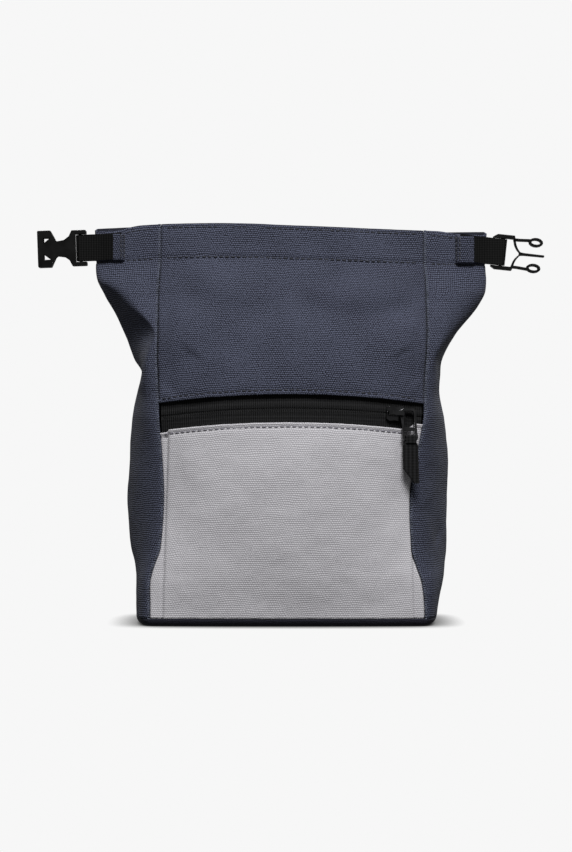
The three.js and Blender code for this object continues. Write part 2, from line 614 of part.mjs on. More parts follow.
// Pull link: a flat ring that hangs on the lug's right foot, leaning out over the pocket's edge.
const linkX = lugHalf - LUG_BAND - LINK_RIM - 2 * PIECE_GAP + LINK_WIDTH / 2;
const linkTop = LINK_HEAD;
const linkFoot = linkTop - LINK_LENGTH;
const linkGroup = new THREE.Group();
linkGroup.position.set(linkX, plateTop - 2 * PIECE_GAP - LINK_THICKNESS / 2, 0);
linkGroup.rotation.set(-LINK_LEAN, Math.asin(sliderFrame.elements[2]), 0, "YXZ");
sliderGroup.add(linkGroup);
{
  const half = LINK_WIDTH / 2;
  const bevel = LINK_RIM * 0.9;
  const outline = [
    [-half * 0.7, linkTop],
    [-half, linkTop - half * 0.45],
    [-half * 0.92, linkFoot + LINK_LENGTH * 0.3],
    [-half, linkFoot + bevel],
    [-half * 0.8, linkFoot],
    [half * 0.8, linkFoot],
    [half, linkFoot + bevel],
    [half * 0.92, linkFoot + LINK_LENGTH * 0.3],
    [half, linkTop - half * 0.45],
    [half * 0.7, linkTop],
  ];
  const inner = half - LINK_RIM;
  const slotFoot = linkFoot + LINK_RIM;
  const slotTop = slotFoot + LINK_SLOT;
  const lugEye = [
    [-inner, linkTop - LINK_RIM * 1.4],
    [-inner * 0.8, linkTop - LINK_RIM],
    [inner * 0.8, linkTop - LINK_RIM],
    [inner, linkTop - LINK_RIM * 1.4],
    [inner * 0.9, slotTop + LINK_RIM * 1.4],
    [-inner * 0.9, slotTop + LINK_RIM * 1.4],
  ];
  const pullSlot = [
    [-inner, slotFoot],
    [inner, slotFoot],
    [inner, slotTop],
    [-inner, slotTop],
  ];
  add("pull_link", plate(outline, LINK_THICKNESS, [lugEye, pullSlot]), BLACK_METAL, linkGroup);
}

// Fabric pull: folded round the foot of the link, its end cut at a slant. It hangs along the pocket.
{
  const pullGroup = new THREE.Group();
  pullGroup.position.set(0, 0, linkFoot + LINK_RIM / 2).applyEuler(linkGroup.rotation);
  pullGroup.position.add(linkGroup.position);
  pullGroup.rotation.y = linkGroup.rotation.y;
  sliderGroup.add(pullGroup);
  const loopHalf = LINK_THICKNESS / 2 + PIECE_GAP;
  const layer = PULL_THICKNESS / 2;
  const barHalf = LINK_RIM / 2 + PIECE_GAP;
  const profile = (grow) => {
    const reach = loopHalf + grow;
    return [
      [-reach, -barHalf - grow],
      [reach, -barHalf - grow],
      [reach, barHalf + grow * 0.4],
      [reach * 0.5, barHalf + grow],
      [-reach * 0.5, barHalf + grow],
      [-reach, barHalf + grow * 0.4],
    ];
  };
  const neck = LINK_WIDTH / 2 - LINK_RIM - PIECE_GAP;
  const loop = pulled(profile(layer), 2 * neck, [profile(0)]).translate(0, 0, -neck).applyMatrix4(yAcross);
  const half = PULL_WIDTH / 2;
  const top = -barHalf - layer / 2;
  const shoulder = -barHalf - 2 * layer;
  const foot = -PULL_LENGTH;
  const tongue = plate(
    [
      [-neck, top],
      [neck, top],
      [half, shoulder],
      [half, foot],
      [half * 0.45, foot],
      [-half, foot + PULL_WIDTH],
      [-half, shoulder],
    ],
    PULL_THICKNESS,
  );
  add("pull_tab", united(loop, tongue), BLACK_TAPE, pullGroup);
}

// Webbing tabs and buckle halves. Each is made in a frame of its own: u runs out from the ear tip along
// X, and the group carries it to its ear.
function earFrame(letter, droop) {
  const z = BAG_HEIGHT - TAB_DROP;
  const tip = section(z)[letter].seam + section(z)[letter].reach + SEAM_GAP / 2;
  const at = settle(letter === "L" ? -tip : tip, 0, z);
  const group = new THREE.Group();
  group.position.copy(at);
  if (letter === "L") group.rotation.set(0, -droop, Math.PI);
  else group.rotation.set(0, droop, 0);
  bag.add(group);
  return group;
}

// Half the thickness of an ear at a place inboard of its tip, over the height of the webbing.
function earHalf(letter, inboard) {
  let widest = 0;
  for (const share of [-0.7, -0.35, 0, 0.35, 0.65]) {
    const z = BAG_HEIGHT - TAB_DROP + share * WEBBING_WIDTH;
    const line = sideLine(letter, z, 0, SIDE_STEPS);
    const sec = section(BAG_HEIGHT - TAB_DROP)[letter];
    const limit = sec.seam + sec.reach - inboard - 1;
    for (let i = 0; i < line.length - 1; i += 1) {
      const [a, b] = [line[i], line[i + 1]];
      const [low, high] = [Math.min(Math.abs(a.x), Math.abs(b.x)), Math.max(Math.abs(a.x), Math.abs(b.x))];
      if (high >= limit) {
        const t = clamp((limit - low) / (high - low || 1), 0, 1);
        const near = Math.abs(a.x) < Math.abs(b.x) ? lerp(a.y, b.y, t) : lerp(b.y, a.y, t);
        widest = Math.max(widest, Math.abs(near));
      }
    }
  }
  return widest;
}

// A webbing loop: two legs that embrace the ear and close round the buckle's bar.
function webbingLoop(letter, barAt) {
  const outline = (grow) => {
    const at = BAR_RADIUS + PIECE_GAP + grow;
    const rounding = Array.from({ length: 7 }, (_, i) => {
      const angle = (Math.PI * i) / 6;
      return [barAt + at * Math.sin(angle), at * Math.cos(angle)];
    });
    const legs = [1, 0.66, 0.33, 0.05, -0.2].map((share) => {
      const inboard = TAB_ANCHOR * share;
      const clear = Math.max(earHalf(letter, Math.max(inboard, 0)) + PIECE_GAP, BAR_RADIUS + PIECE_GAP);
      return [-inboard, clear + grow];
    });
    return { legs, rounding };
  };
  const [outside, inside] = [outline(WEBBING), outline(0)];
  const flip = ([x, y]) => [x, -y];
  const run = [
    ...outside.legs,
    ...outside.rounding,
    ...outside.legs.map(flip).reverse(),
    ...inside.legs.map(flip),
    ...[...inside.rounding].reverse(),
    ...[...inside.legs].reverse(),
  ];
  return pulled(run, WEBBING_WIDTH).translate(0, 0, -WEBBING_WIDTH / 2);
}

const webbingSlot = WEBBING_WIDTH / 2 + SLOT_PLAY;
const bar = (at) => {
  const geometry = new THREE.CylinderGeometry(BAR_RADIUS, BAR_RADIUS, 2 * (webbingSlot + FUSE), 10);
  return geometry.rotateX(Math.PI / 2).translate(at, 0, 0);
};
const slotBox = (start, end) =>
  box(start, end, -BUCKLE_THICKNESS, BUCKLE_THICKNESS, -webbingSlot, webbingSlot);
const flipped = (points) => points.map(([x, z]) => [x, -z]).reverse();

// Socket half, on the left ear: a flat hollow body with a narrow waist, a window beside each prong's seat
// and a bar for the webbing.
{
  const group = earFrame("L", SOCKET_DROOP);
  const half = BUCKLE_WIDTH / 2;
  const start = SOCKET_START;
  const barAt = start + SOCKET_LIP;
  const slotEnd = barAt + BAR_RADIUS + WEBBING + 2 * PIECE_GAP;
  const headEnd = slotEnd + SOCKET_WEB;
  const waist = (share) => headEnd + WAIST_LENGTH * share;
  const block = (share) => headEnd + WAIST_LENGTH + BLOCK_LENGTH * share;
  const outline = mirrored([
    [start, half * 0.93],
    [start + CHAMFER, half * 0.97],
    [headEnd, half * 0.97],
    [waist(0.13), half * 0.66],
    [waist(0.36), half * 0.46],
    [waist(0.68), half * 0.4],
    [waist(0.77), half * 0.47],
    [block(0), half],
    [block(1) - CHAMFER, half],
    [block(1), half * 0.95],
  ]);
  const window = [
    [block(0.03), half * 0.59],
    [block(0.54), half * 0.59],
    [block(0.54), half * 0.3],
  ];
  const body = plate(outline, BUCKLE_THICKNESS, [window, flipped(window)]);
  const [hollowH, hollowW] = [SOCKET_HEIGHT / 2, SOCKET_WIDTH / 2];
  const socket = box(slotEnd + SOCKET_FLOOR, block(1) + FUSE, -hollowH, hollowH, -hollowW, hollowW);
  const shell = cutBy(body, slotBox(start - FUSE, slotEnd), socket);
  add("buckle_socket_half", united(shell, bar(barAt)), BLACK_PLASTIC, group);
  add("webbing_tab_left", webbingLoop("L", barAt), BLACK_TAPE, group);
}

// Prong half, on the right ear: a frame with a bar, two sprung prongs that end in loops and a guide pin.
{
  const group = earFrame("R", PRONG_DROOP);
  const thickness = SOCKET_HEIGHT - 2 * PRONG_PLAY;
  const half = FRAME_WIDTH / 2;
  const start = FRAME_START;
  const barAt = start + FRAME_LIP;
  const frameEnd = start + FRAME_LENGTH;
  const outline = mirrored([
    [start, half * 0.85],
    [lerp(start, frameEnd, 0.2), half],
    [frameEnd, half],
    [frameEnd + CHAMFER, half * 0.86],
    [frameEnd + CHAMFER, webbingSlot * 0.9],
  ]);
  const rails = cutBy(plate(outline, FRAME_THICKNESS), slotBox(start - FUSE, frameEnd + 2 * CHAMFER));
  // Two thin arcs join the rails to the guide pin.
  const junction = frameEnd + ARC_RISE;
  const arcPoints = (grow) =>
    Array.from({ length: 9 }, (_, i) => {
      const angle = (Math.PI / 2) * (i / 8);
      const deep = (ARC_RISE + CHAMFER) * Math.cos(angle) ** 1.6;
      return [junction - deep + grow, CHAMFER + webbingSlot * (1 - Math.sin(angle))];
    });
  const arc = [...arcPoints(0), ...arcPoints(ARC_BAND).reverse()];
  const arcs = [arc, flipped(arc)].map((points) => plate(points, thickness * 0.8));
  const pinHalf = ARC_BAND / 2;
  const pin = plate(
    mirrored([
      [junction - FUSE, pinHalf * 1.7],
      [junction + 2 * ARC_BAND, pinHalf * 1.2],
      [frameEnd + PIN_REACH - CHAMFER, pinHalf],
      [frameEnd + PIN_REACH, pinHalf * 0.6],
    ]),
    thickness * 0.75,
  );
  const loopAt = frameEnd + LOOP_AT;
  const loopSide = half * 0.74;
  const [loopL, loopW] = [LOOP_LENGTH / 2, LOOP_WIDTH / 2];
  const armFoot = half * 0.86;
  const loopRoot = loopAt - loopL * 0.47;
  const prong = (sign) => {
    const arm = [
      [frameEnd - FUSE, sign * armFoot],
      [frameEnd + LOOP_AT * 0.23, sign * armFoot],
      [loopRoot, sign * (loopSide + loopW * 0.64)],
      [loopRoot, sign * (loopSide + loopW * 0.64 - ARM_BAND)],
      [frameEnd + LOOP_AT * 0.23, sign * (armFoot - ARM_BAND)],
      [frameEnd - FUSE, sign * (armFoot - ARM_BAND)],
    ];
    const loop = plate(ellipse(loopAt, sign * loopSide, loopL, loopW), thickness);
    const eye = ellipse(loopAt, sign * loopSide, loopL - LOOP_RIM, loopW - LOOP_RIM, 10);
    return cutBy(united(plate(arm, thickness), loop), plate(eye, 2 * thickness));
  };
  const body = united(rails, bar(barAt), ...arcs, pin, prong(1), prong(-1));
  add("buckle_prong_half", body, BLACK_PLASTIC, group);
  add("webbing_tab_right", webbingLoop("R", barAt), BLACK_TAPE, group);
}

export default bag;
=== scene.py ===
# A climbing chalk bag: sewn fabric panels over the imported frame, with stitches, zipper, webbing and buckle.
# Sizes are in millimetres, as in the CAD source, and become metres where a mesh is made.

import math

import bmesh
import bpy
import numpy as np
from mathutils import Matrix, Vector, noise


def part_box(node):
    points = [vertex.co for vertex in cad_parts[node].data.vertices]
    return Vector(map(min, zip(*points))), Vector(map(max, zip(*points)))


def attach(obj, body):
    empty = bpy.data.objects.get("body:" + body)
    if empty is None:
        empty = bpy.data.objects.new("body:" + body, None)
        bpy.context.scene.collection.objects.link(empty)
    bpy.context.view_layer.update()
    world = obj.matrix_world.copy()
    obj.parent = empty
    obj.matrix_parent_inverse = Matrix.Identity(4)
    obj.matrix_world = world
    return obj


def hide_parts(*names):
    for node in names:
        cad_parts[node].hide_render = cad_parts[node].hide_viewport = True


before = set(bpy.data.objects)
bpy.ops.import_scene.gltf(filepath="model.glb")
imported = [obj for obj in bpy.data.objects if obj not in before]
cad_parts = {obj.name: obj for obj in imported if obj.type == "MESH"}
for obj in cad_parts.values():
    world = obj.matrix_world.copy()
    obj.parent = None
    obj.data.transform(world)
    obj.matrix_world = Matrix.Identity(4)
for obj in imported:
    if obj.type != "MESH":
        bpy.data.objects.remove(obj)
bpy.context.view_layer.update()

MM = 0.001

# Bag body, the same driving sizes as the CAD source
BAG_HEIGHT = 235
FRONT_WIDTH = 160
BODY_WIDTH = 190
BODY_DEPTH = 94
MOUTH_WIDTH = 232
MOUTH_DEPTH = 13
FRONT_CROWN = 16
BACK_CROWN = 12
CROWN_FULLNESS = 2.4
SIDE_SWELL = 8
EAR_EDGE = 1.6
FOOT_RADIUS = 4.2
RIM_DROP = 4.5
RIM_FROM = 0.7
WALL = 1.4
SEAM_GAP = 0.1
PIECE_GAP = 0.3
ZIP_TOP = 134
ZIP_OPENING = 16.4
ZIP_DROP = 5.5
ZIP_END_LIFT = 4
TAPE = 1.0
TAPE_OVERLAP = 6
CHAIN_THICKNESS = 1.8
LINER = 1.0
POCKET_ROOM = 3.5
ROOM_FADE = 35
LINER_MARGIN = 3.2
TAPE_MARGIN = 1.2
PLEAT_INSET = 7.4
PLEAT_STEP = 0.9
PLEAT_LEAN = 0.028  # how much nearer a pleat comes to mid-front per millimetre up
PLEAT_EDGE = 0.7  # half the width of its fold
PLEAT_CORNER = 1.4  # how much lower the pocket's edge is beside the left pleat
PLEAT_GROOVE = (0.5, 0.7)  # depth and spread of the line where a pleat folds
SLIDER_INSET = 18.7
WEBBING_WIDTH = 15.6
CORNER_SHARE = 0.4  # share of a side's steps between a seam and the corner beside it
SIDES = (("L", "left", -1), ("R", "right", 1))

# Rows and columns of the grids of cloth
FACE_COLUMNS = 104
FRONT_ROWS = 96
BACK_ROWS = 150
POCKET_ROWS = 110
POCKET_COLUMNS = 220
SIDE_ROWS = 170
SIDE_COLUMNS = 60
SIDE_SAMPLES = 320  # fine steps along which a side's line is measured
LINER_ROWS = 40
LINER_COLUMNS = 48
TAPE_ROWS = 26
TAPE_COLUMNS = 500
COVER_POINTS = (33, 25)  # up and across
WELD_REACH = 0.02  # points of a grid nearer than this are joined

# Sewing
SEAM_ROLL = 0.35  # how far a panel's edge turns in at a seam
SEAM_REACH = 1.2  # width of that turn
SEAM_SINK = 2.4  # how far the upper front seams lie below the walls beside them
SINK_REACH = 13  # width of that hollow on each side
SINK_FROM = (0.5, 0.62)  # it begins and ends between these shares of the height
SINK_TO = (0.8, 0.9)
HEM_DEPTH = 20  # from the rim to the hem's lower row of stitches
HEM_TOP = 2.2  # from the rim to its upper row
HEM_PULL = 0.6  # depth of the upper row's groove, as a share of the lower one's
HEM_THICK = 0.5  # how far the hem's folded layers stand out
HEM_STEP = (0.4, 2.0)  # they come out between these distances above the lower row
UNEVENNESS = ((16, 0.45, 0), (5.5, 0.14, 9))  # size, height and shift of the cloth's soft bumps
UNEVEN_FADE = 8  # width beside a seam where the bumps fade
GROOVE = 0.45  # how deep a row of stitches pulls the cloth in
GROOVE_SPREAD = 1.1
STITCH_PITCH = 3.45
STITCH_LENGTH = 2.3
THREAD = 0.38  # radius
ZIP_STITCH = 2.3  # from a panel's edge to its row beside the zipper
EDGE_FOLD = 0.6  # how far the folded edge beside the zipper stands out
EAR_STEP = 1.8  # how much lower the front layer of an ear ends than its back layer
EAR_FADE = 8  # the step grows over this width on both sides of the body's edge
EAR_RIM = (13, 4)  # and between these distances below the rim
EAR_TURN = 0.6  # and over this depth on both sides of the ear's middle
TICK_FROM = 0.1  # overlock stitches beside the long seams: their near end, from the seam
TICK_LENGTH = 1.5  # their far end
TICK = 0.26  # radius of their thread
TICK_LIFT = 0.4  # how far they stand out, as a share of that radius
TICK_POINTS = 12  # points of a side's line that are enough to place them
RIB_PITCH = 1.25  # ribs of the zipper tape over the coil
COVER_WIDTH = {"L": 6.9, "R": 11.0}  # strips of cloth over the ends of the webbing tabs
COVER_INSET = 1.2  # how far they reach past the webbing's end
COVER_ROWS = (-0.8, 0.9)  # their two rows of stitches, from the webbing's end
COVER_CLOTH = 0.8  # their thickness
COVER_PAST = 0.8  # how far they reach above and below the webbing
COVER_RISE = (-1.6, 0.4)  # they climb onto the webbing between these places, from its end
COVER_EDGE = 24  # how sharply they fall at their upper and lower edges
COVER_STITCH_PITCH = 2.9
COVER_STITCH_LENGTH = 2.4
COVER_THREAD_LIFT = 0.2
WEBBING_THICKNESS = 1.3
WEAVE_ACROSS = 1.35  # pitch of the knots along a row
WEAVE_UP = 1.22  # pitch of the rows

SECTION_COLUMNS = (
    "at", "seamL", "seamR", "depth", "crown", "flareL", "flareR",
    "swellL", "swellR", "fullL", "fullR", "facetL", "facetR",
)
SECTIONS = (
    (0.0, 1.0, 0.98, 1.0, 0.16, -0.25, -0.39, 0.0, 0.0, 2.4, 2.4, 0.0, 0.0),
    (0.05, 1.0, 0.98, 1.0, 0.25, -0.24, -0.31, 0.0, 0.0, 2.3, 2.3, 0.0, 0.0),
    (0.11, 1.0, 0.96, 0.99, 0.44, -0.23, -0.16, 0.0, 0.0, 2.1, 2.1, 0.0, 0.0),
    (0.15, 0.97, 0.92, 0.97, 0.56, -0.17, -0.1, 0.0, 0.0, 1.8, 1.8, 0.0, 0.0),
    (0.19, 0.93, 0.89, 0.95, 0.68, -0.07, -0.06, 0.05, 0.1, 1.6, 1.6, 0.0, 0.0),
    (0.31, 0.905, 0.88, 0.9, 0.94, 0.03, -0.04, 0.05, 0.1, 1.45, 1.45, 0.0, 0.0),
    (0.42, 0.92, 0.93, 0.88, 1.0, -0.04, -0.01, 0.1, 0.1, 1.4, 1.4, 0.0, 0.0),
    (0.51, 0.94, 0.98, 0.85, 0.97, -0.1, -0.12, 0.2, 0.15, 1.4, 1.4, 0.0, 0.0),
    (0.58, 0.945, 0.985, 0.81, 0.92, -0.25, -0.25, 0.3, 0.2, 1.6, 1.6, 0.0, 0.1),
    (0.625, 0.95, 0.99, 0.775, 0.87, -0.38, -0.22, 0.2, 0.1, 3.5, 3.0, 0.2, 0.38),
    (0.66, 0.955, 1.0, 0.74, 0.81, -0.18, -0.17, 0.1, 0.05, 7.0, 5.0, 0.55, 0.45),
    (0.72, 0.955, 1.01, 0.65, 0.69, 0.1, 0.16, 0.0, 0.0, 10.0, 3.0, 0.9, 0.05),
    (0.78, 0.955, 1.01, 0.5, 0.56, 0.39, 0.69, 0.0, 0.0, 10.0, 2.2, 0.52, 0.0),
    (0.83, 0.955, 1.01, 0.35, 0.44, 0.7, 1.02, 0.0, 0.0, 6.0, 1.9, 0.27, 0.0),
    (0.87, 0.95, 1.01, 0.22, 0.34, 0.9, 1.07, 0.0, 0.0, 2.0, 1.3, 0.05, 0.0),
    (0.91, 0.945, 1.0, 0.11, 0.25, 0.94, 1.06, 0.0, 0.0, 0.95, 0.95, 0.0, 0.0),
    (1.0, 0.945, 1.0, 0.0, 0.17, 0.94, 1.06, 0.0, 0.0, 0.95, 0.95, 0.0, 0.0),
)
RIM_COLUMNS = ("across", "lift")
RIM = ((-1, -0.5), (-0.62, 0.05), (-0.3, 0.1), (0, -0.15), (0.66, -0.8), (1, -0.9))
# Folds: both ends (along, height), sag, rise and spread, as shares like those of the CAD source.
FRONT_FOLDS = (
    ((-0.85, 0.9), (0.02, 0.86), 0.03, 0.04, 0.028),
    ((-0.85, 0.83), (0.02, 0.8), 0.035, -0.2, 0.034),
    ((-0.02, 0.87), (0.95, 0.86), 0.03, 0.04, 0.028),
    ((0.0, 0.81), (0.95, 0.8), 0.04, -0.2, 0.034),
    ((-0.95, 0.57), (-0.7, 0.68), 0.0, -0.13, 0.035),
    ((0.97, 0.6), (0.8, 0.68), 0.0, -0.11, 0.03),
)
SIDE_FOLDS = {
    "L": (((-0.5, 0.5), (-0.4, 0.15), 0, 0.1, 0.05),),
    "R": (((-0.9, 0.3), (-0.5, 0.2), 0, -0.25, 0.04),),
}


def smooth(value, low, high):
    t = np.clip((np.asarray(value, float) - low) / (high - low), 0, 1)
    return t * t * (3 - 2 * t)


def column(table, names, name, value):
    """A column of a table at one key, on a smooth curve through the rows."""
    rows = np.array(table, float)
    keys = rows[:, 0]
    values = rows[:, names.index(name)]
    value = np.asarray(value, float)
    last = len(keys) - 1
    i = np.clip(np.searchsorted(keys, value, side="left") - 1, 0, last - 1)
    span = keys[i + 1] - keys[i]
    t = np.clip((value - keys[i]) / span, 0, 1)

    def slope(j):
        before = np.maximum(j - 1, 0)
        after = np.minimum(j + 1, last)
        return (values[after] - values[before]) / (keys[after] - keys[before]) * span

    return (
        values[i] * (2 * t**3 - 3 * t**2 + 1)
        + slope(i) * (t**3 - 2 * t**2 + t)
        + values[i + 1] * (3 * t**2 - 2 * t**3)
        + slope(i + 1) * (t**3 - t**2)
    )


def section(z):
    """The shell's section at a height."""
    at = np.clip(np.asarray(z, float) / BAG_HEIGHT, 0, 1)
    low = np.clip(np.asarray(z, float) / FOOT_RADIUS, 0, 1)
    tuck = FOOT_RADIUS * (1 - np.sqrt(1 - (1 - low) ** 2))
    share = {name: column(SECTIONS, SECTION_COLUMNS, name, at) for name in SECTION_COLUMNS}
    made = {"at": at, "crown": share["crown"]}
    made["depth"] = (MOUTH_DEPTH + (BODY_DEPTH - MOUTH_DEPTH) * share["depth"]) / 2 - tuck
    for side in "LR":
        seam = share["seam" + side] * FRONT_WIDTH / 2 - tuck
        tip = (BODY_WIDTH + (MOUTH_WIDTH - BODY_WIDTH) * share["flare" + side]) / 2 - tuck
        swell = share["swell" + side] * SIDE_SWELL
        made[side] = {"seam": seam, "reach": tip - seam, "swell": swell}
        made[side].update(full=share["full" + side], facet=share["facet" + side])
    return made


def relief(folds, along, at, scale):
    """How far a wall stands out because of its folds, as a share."""
    total = 0
    for (x0, at0), (x1, at1), sag, rise, spread in folds:
        run_x = (x1 - x0) * scale
        run_z = at1 - at0
        dx = (along - x0) * scale
        dz = at - at0
        t = np.clip((dx * run_x + dz * run_z) / (run_x**2 + run_z**2), 0, 1)
        off_x = dx - t * run_x
        off_z = dz - t * run_z + sag * 4 * t * (1 - t)
        taper = smooth(t, 0, 0.15) * (1 - smooth(t, 0.85, 1))
        total = total + rise * taper * np.exp(-(off_x**2 + off_z**2) / spread**2)
    return total


def settle(x, y, z):
    """Lowers the rim along its own line."""
    share = smooth(z / BAG_HEIGHT, RIM_FROM, 1)
    lift = column(RIM, RIM_COLUMNS, "lift", np.clip(x / (MOUTH_WIDTH / 2), -1, 1))
    return np.stack(np.broadcast_arrays(x, y, z + share * lift * RIM_DROP), -1)


def seam_half(x, sec):
    return np.where(x < 0, sec["L"]["seam"], sec["R"]["seam"])


def face_point(x, z, inward=0, side=-1):
    """A point of the front (side -1) or back (side 1) wall, moved into the bag by inward."""
    x = np.asarray(x, float)
    z = np.asarray(z, float)
    sec = section(z)
    half = seam_half(x, sec)
    crown = FRONT_CROWN if side < 0 else BACK_CROWN
    arch = np.maximum(0, 1 - np.abs(x / half) ** CROWN_FULLNESS)
    out = sec["depth"] + crown * sec["crown"] * arch
    if side < 0:
        folds = relief(FRONT_FOLDS, x / half, sec["at"], FRONT_WIDTH / 2 / BAG_HEIGHT)
        out = out + FRONT_CROWN * folds * smooth(1 - np.abs(x / half), 0, 0.12)
    return settle(x, side * (out - inward), z)


def side_line(side, z, steps):
    """Points of a side wall, from its front seam round to its back seam. Corners and tip stay points."""
    sec = section(z)
    angle = np.pi * (np.arange(SIDE_SAMPLES + 1) / SIDE_SAMPLES - 0.5)
    full = sec[side]["full"]
    q = np.sign(angle) * np.abs(np.sin(angle)) ** (2 / full)
    out = np.maximum(np.cos(angle), 0) ** (2 / full)
    beside = np.abs(q) ** 3
    roll = sec[side]["swell"] * 4 * beside * (1 - beside)
    folds = relief(SIDE_FOLDS[side], q, sec["at"], sec["depth"] / BAG_HEIGHT) * SIDE_SWELL * (1 - q * q)
    blunt = np.sign(angle) * EAR_EDGE * np.sqrt(np.maximum(0, 1 - out**8))
    slant = 1 - sec[side]["facet"] * np.abs(q)
    x = sec[side]["seam"] + SEAM_GAP / 2 + np.maximum(0, sec[side]["reach"] * out * slant + roll + folds)
    y = q * (sec["depth"] - EAR_EDGE) + blunt
    run = np.concatenate([[0], np.cumsum(np.hypot(np.diff(x), np.diff(y)))])
    stops = run[:: SIDE_SAMPLES // 4]
    corner = round(CORNER_SHARE * steps / 2)
    counts = (corner, steps // 2 - corner, steps // 2 - corner, corner)
    parts = [np.linspace(stops[k], stops[k + 1], count, endpoint=False) for k, count in enumerate(counts)]
    want = np.concatenate(parts + [run[-1:]])
    sign = -1 if side == "L" else 1
    return settle(sign * np.interp(want, run, x), np.interp(want, run, y), np.full(len(want), float(z)))


def zip_edge(x, from_top):
    return ZIP_TOP - from_top - ZIP_DROP * (np.asarray(x, float) / (FRONT_WIDTH / 2)) ** 2


def zip_foot(x):
    return zip_edge(x, ZIP_OPENING) + ZIP_END_LIFT * smooth(np.asarray(x) / (FRONT_WIDTH / 2), 0.84, 0.93)


def crumple(points, scale, amount, shift):
    """Soft unevenness of cloth, the same on every run."""
    flat = points.reshape(-1, 3)
    made = [noise.noise(Vector((p[0] / scale, p[1] / scale, p[2] / scale + shift))) for p in flat]
    return amount * np.array(made).reshape(points.shape[:-1])


def normals_of(grid):
    """Normals of a grid of points."""
    across = np.gradient(grid, axis=1)
    up = np.gradient(grid, axis=0)
    normal = np.cross(across, up)
    return normal / np.maximum(np.linalg.norm(normal, axis=-1, keepdims=True), 1e-9)


def groove(distance, depth=GROOVE, spread=GROOVE_SPREAD):
    return depth * np.exp(-((distance / spread) ** 2))


def edge_turn(distance):
    """How far cloth turns in at a distance from its seam."""
    t = np.clip(distance / SEAM_REACH, 0, 1)
    return SEAM_ROLL * (1 - np.sqrt(np.maximum(0, 1 - (1 - t) ** 2)))


def sunken(grid):
    """Draws the front in along its two upper seams, where the cloth is pulled between body and ear."""
    x, y, z = grid[..., 0], grid[..., 1], grid[..., 2]
    beside = np.abs(np.abs(x) - seam_half(x, section(z))) / SINK_REACH
    at = z / BAG_HEIGHT
    deep = smooth(at, *SINK_FROM) * (1 - smooth(at, *SINK_TO)) * (1 - smooth(beside, 0, 1)) * (y < 0)
    made = grid.copy()
    made[..., 1] += SEAM_SINK * deep * smooth(-y, 0, 6)
    return made


def link_object(name, mesh, material, slot, *nodes):
    piece = bpy.data.objects.new(name, mesh)
    bpy.context.scene.collection.objects.link(piece)
    mesh.materials.clear()
    mesh.materials.append(material)
    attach(piece, "root")
    if nodes:
        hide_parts(*nodes)
    return piece


def cloth(name, grid, material, slot, nodes=(), thickness=WALL, outward=None, uv=None, inside=None):
    """A panel of cloth from a grid of points in millimetres, given its thickness on the inner side."""
    rows, cols = grid.shape[:2]
    if outward is not None:
        normal = normals_of(grid)
        facing = (normal * outward).sum(-1).mean() > 0
    else:
        facing = True
    faces = []
    for r in range(rows - 1):
        for c in range(cols - 1):
            a = r * cols + c
            quad = (a, a + 1, a + cols + 1, a + cols)
            faces.append(quad if facing else quad[::-1])
    mesh = bpy.data.meshes.new(name)
    mesh.from_pydata((grid.reshape(-1, 3) * MM).tolist(), [], faces)
    if uv is None:
        lengths = np.linalg.norm(np.diff(grid, axis=1), axis=-1)
        across = np.concatenate([np.zeros((rows, 1)), np.cumsum(lengths, axis=1)], axis=1)
        across -= across[:, [cols // 2]]
        rises = np.linalg.norm(np.diff(grid[:, cols // 2], axis=0), axis=-1)
        up = np.concatenate([[0], np.cumsum(rises)])[:, None] + np.zeros((1, cols))
        uv = np.stack([across, up], -1)
    threads = mesh.attributes.new("threads", "FLOAT_VECTOR", "POINT")
    values = np.concatenate([uv.reshape(-1, 2), np.zeros((rows * cols, 1))], axis=1)
    threads.data.foreach_set("vector", values.astype(np.float32).ravel())
    mesh.polygons.foreach_set("use_smooth", [True] * len(mesh.polygons))
    piece = link_object(name, mesh, material, slot, *nodes)
    # Joins the points that coincide, in the middle of the base and where its rings close.
    piece.modifiers.new("join", "WELD").merge_threshold = WELD_REACH * MM
    solid = piece.modifiers.new("thickness", "SOLIDIFY")
    solid.thickness = thickness * MM
    solid.offset = -1
    # The inner side takes the dark lining weave, which is partly painted shade for the inside of the bag.
    if inside is not None:
        mesh.materials.append(inside)
        solid.material_offset = 1
    return piece


# Materials
def principled(name, color, roughness, metallic=0.0, sheen=0.0, specular=0.5):
    material = bpy.data.materials.new(name)
    material.use_nodes = True
    shader = material.node_tree.nodes["Principled BSDF"]
    shader.inputs["Base Color"].default_value = (*color, 1)
    shader.inputs["Roughness"].default_value = roughness
    shader.inputs["Metallic"].default_value = metallic
    shader.inputs["Sheen Weight"].default_value = sheen
    shader.inputs["Specular IOR Level"].default_value = specular
    return material, material.node_tree, shader


def math_node(tree, operation, *values):
    node = tree.nodes.new("ShaderNodeMath")
    node.operation = operation
    for socket, value in zip(node.inputs, values):
        if isinstance(value, bpy.types.NodeSocket):
            tree.links.new(value, socket)
        else:
            socket.default_value = value
    return node.outputs[0]


def mixed(tree, factor, first, second):
    node = tree.nodes.new("ShaderNodeMix")
    node.data_type = "RGBA"
    tree.links.new(factor, node.inputs[0])
    node.inputs[6].default_value = (*first, 1)
    node.inputs[7].default_value = (*second, 1)
    return node.outputs[2]


def noise_node(tree, vector, scale, detail=2.0):
    node = tree.nodes.new("ShaderNodeTexNoise")
    node.inputs["Scale"].default_value = scale
    node.inputs["Detail"].default_value = detail
    tree.links.new(vector, node.inputs["Vector"])
    return node.outputs[0]


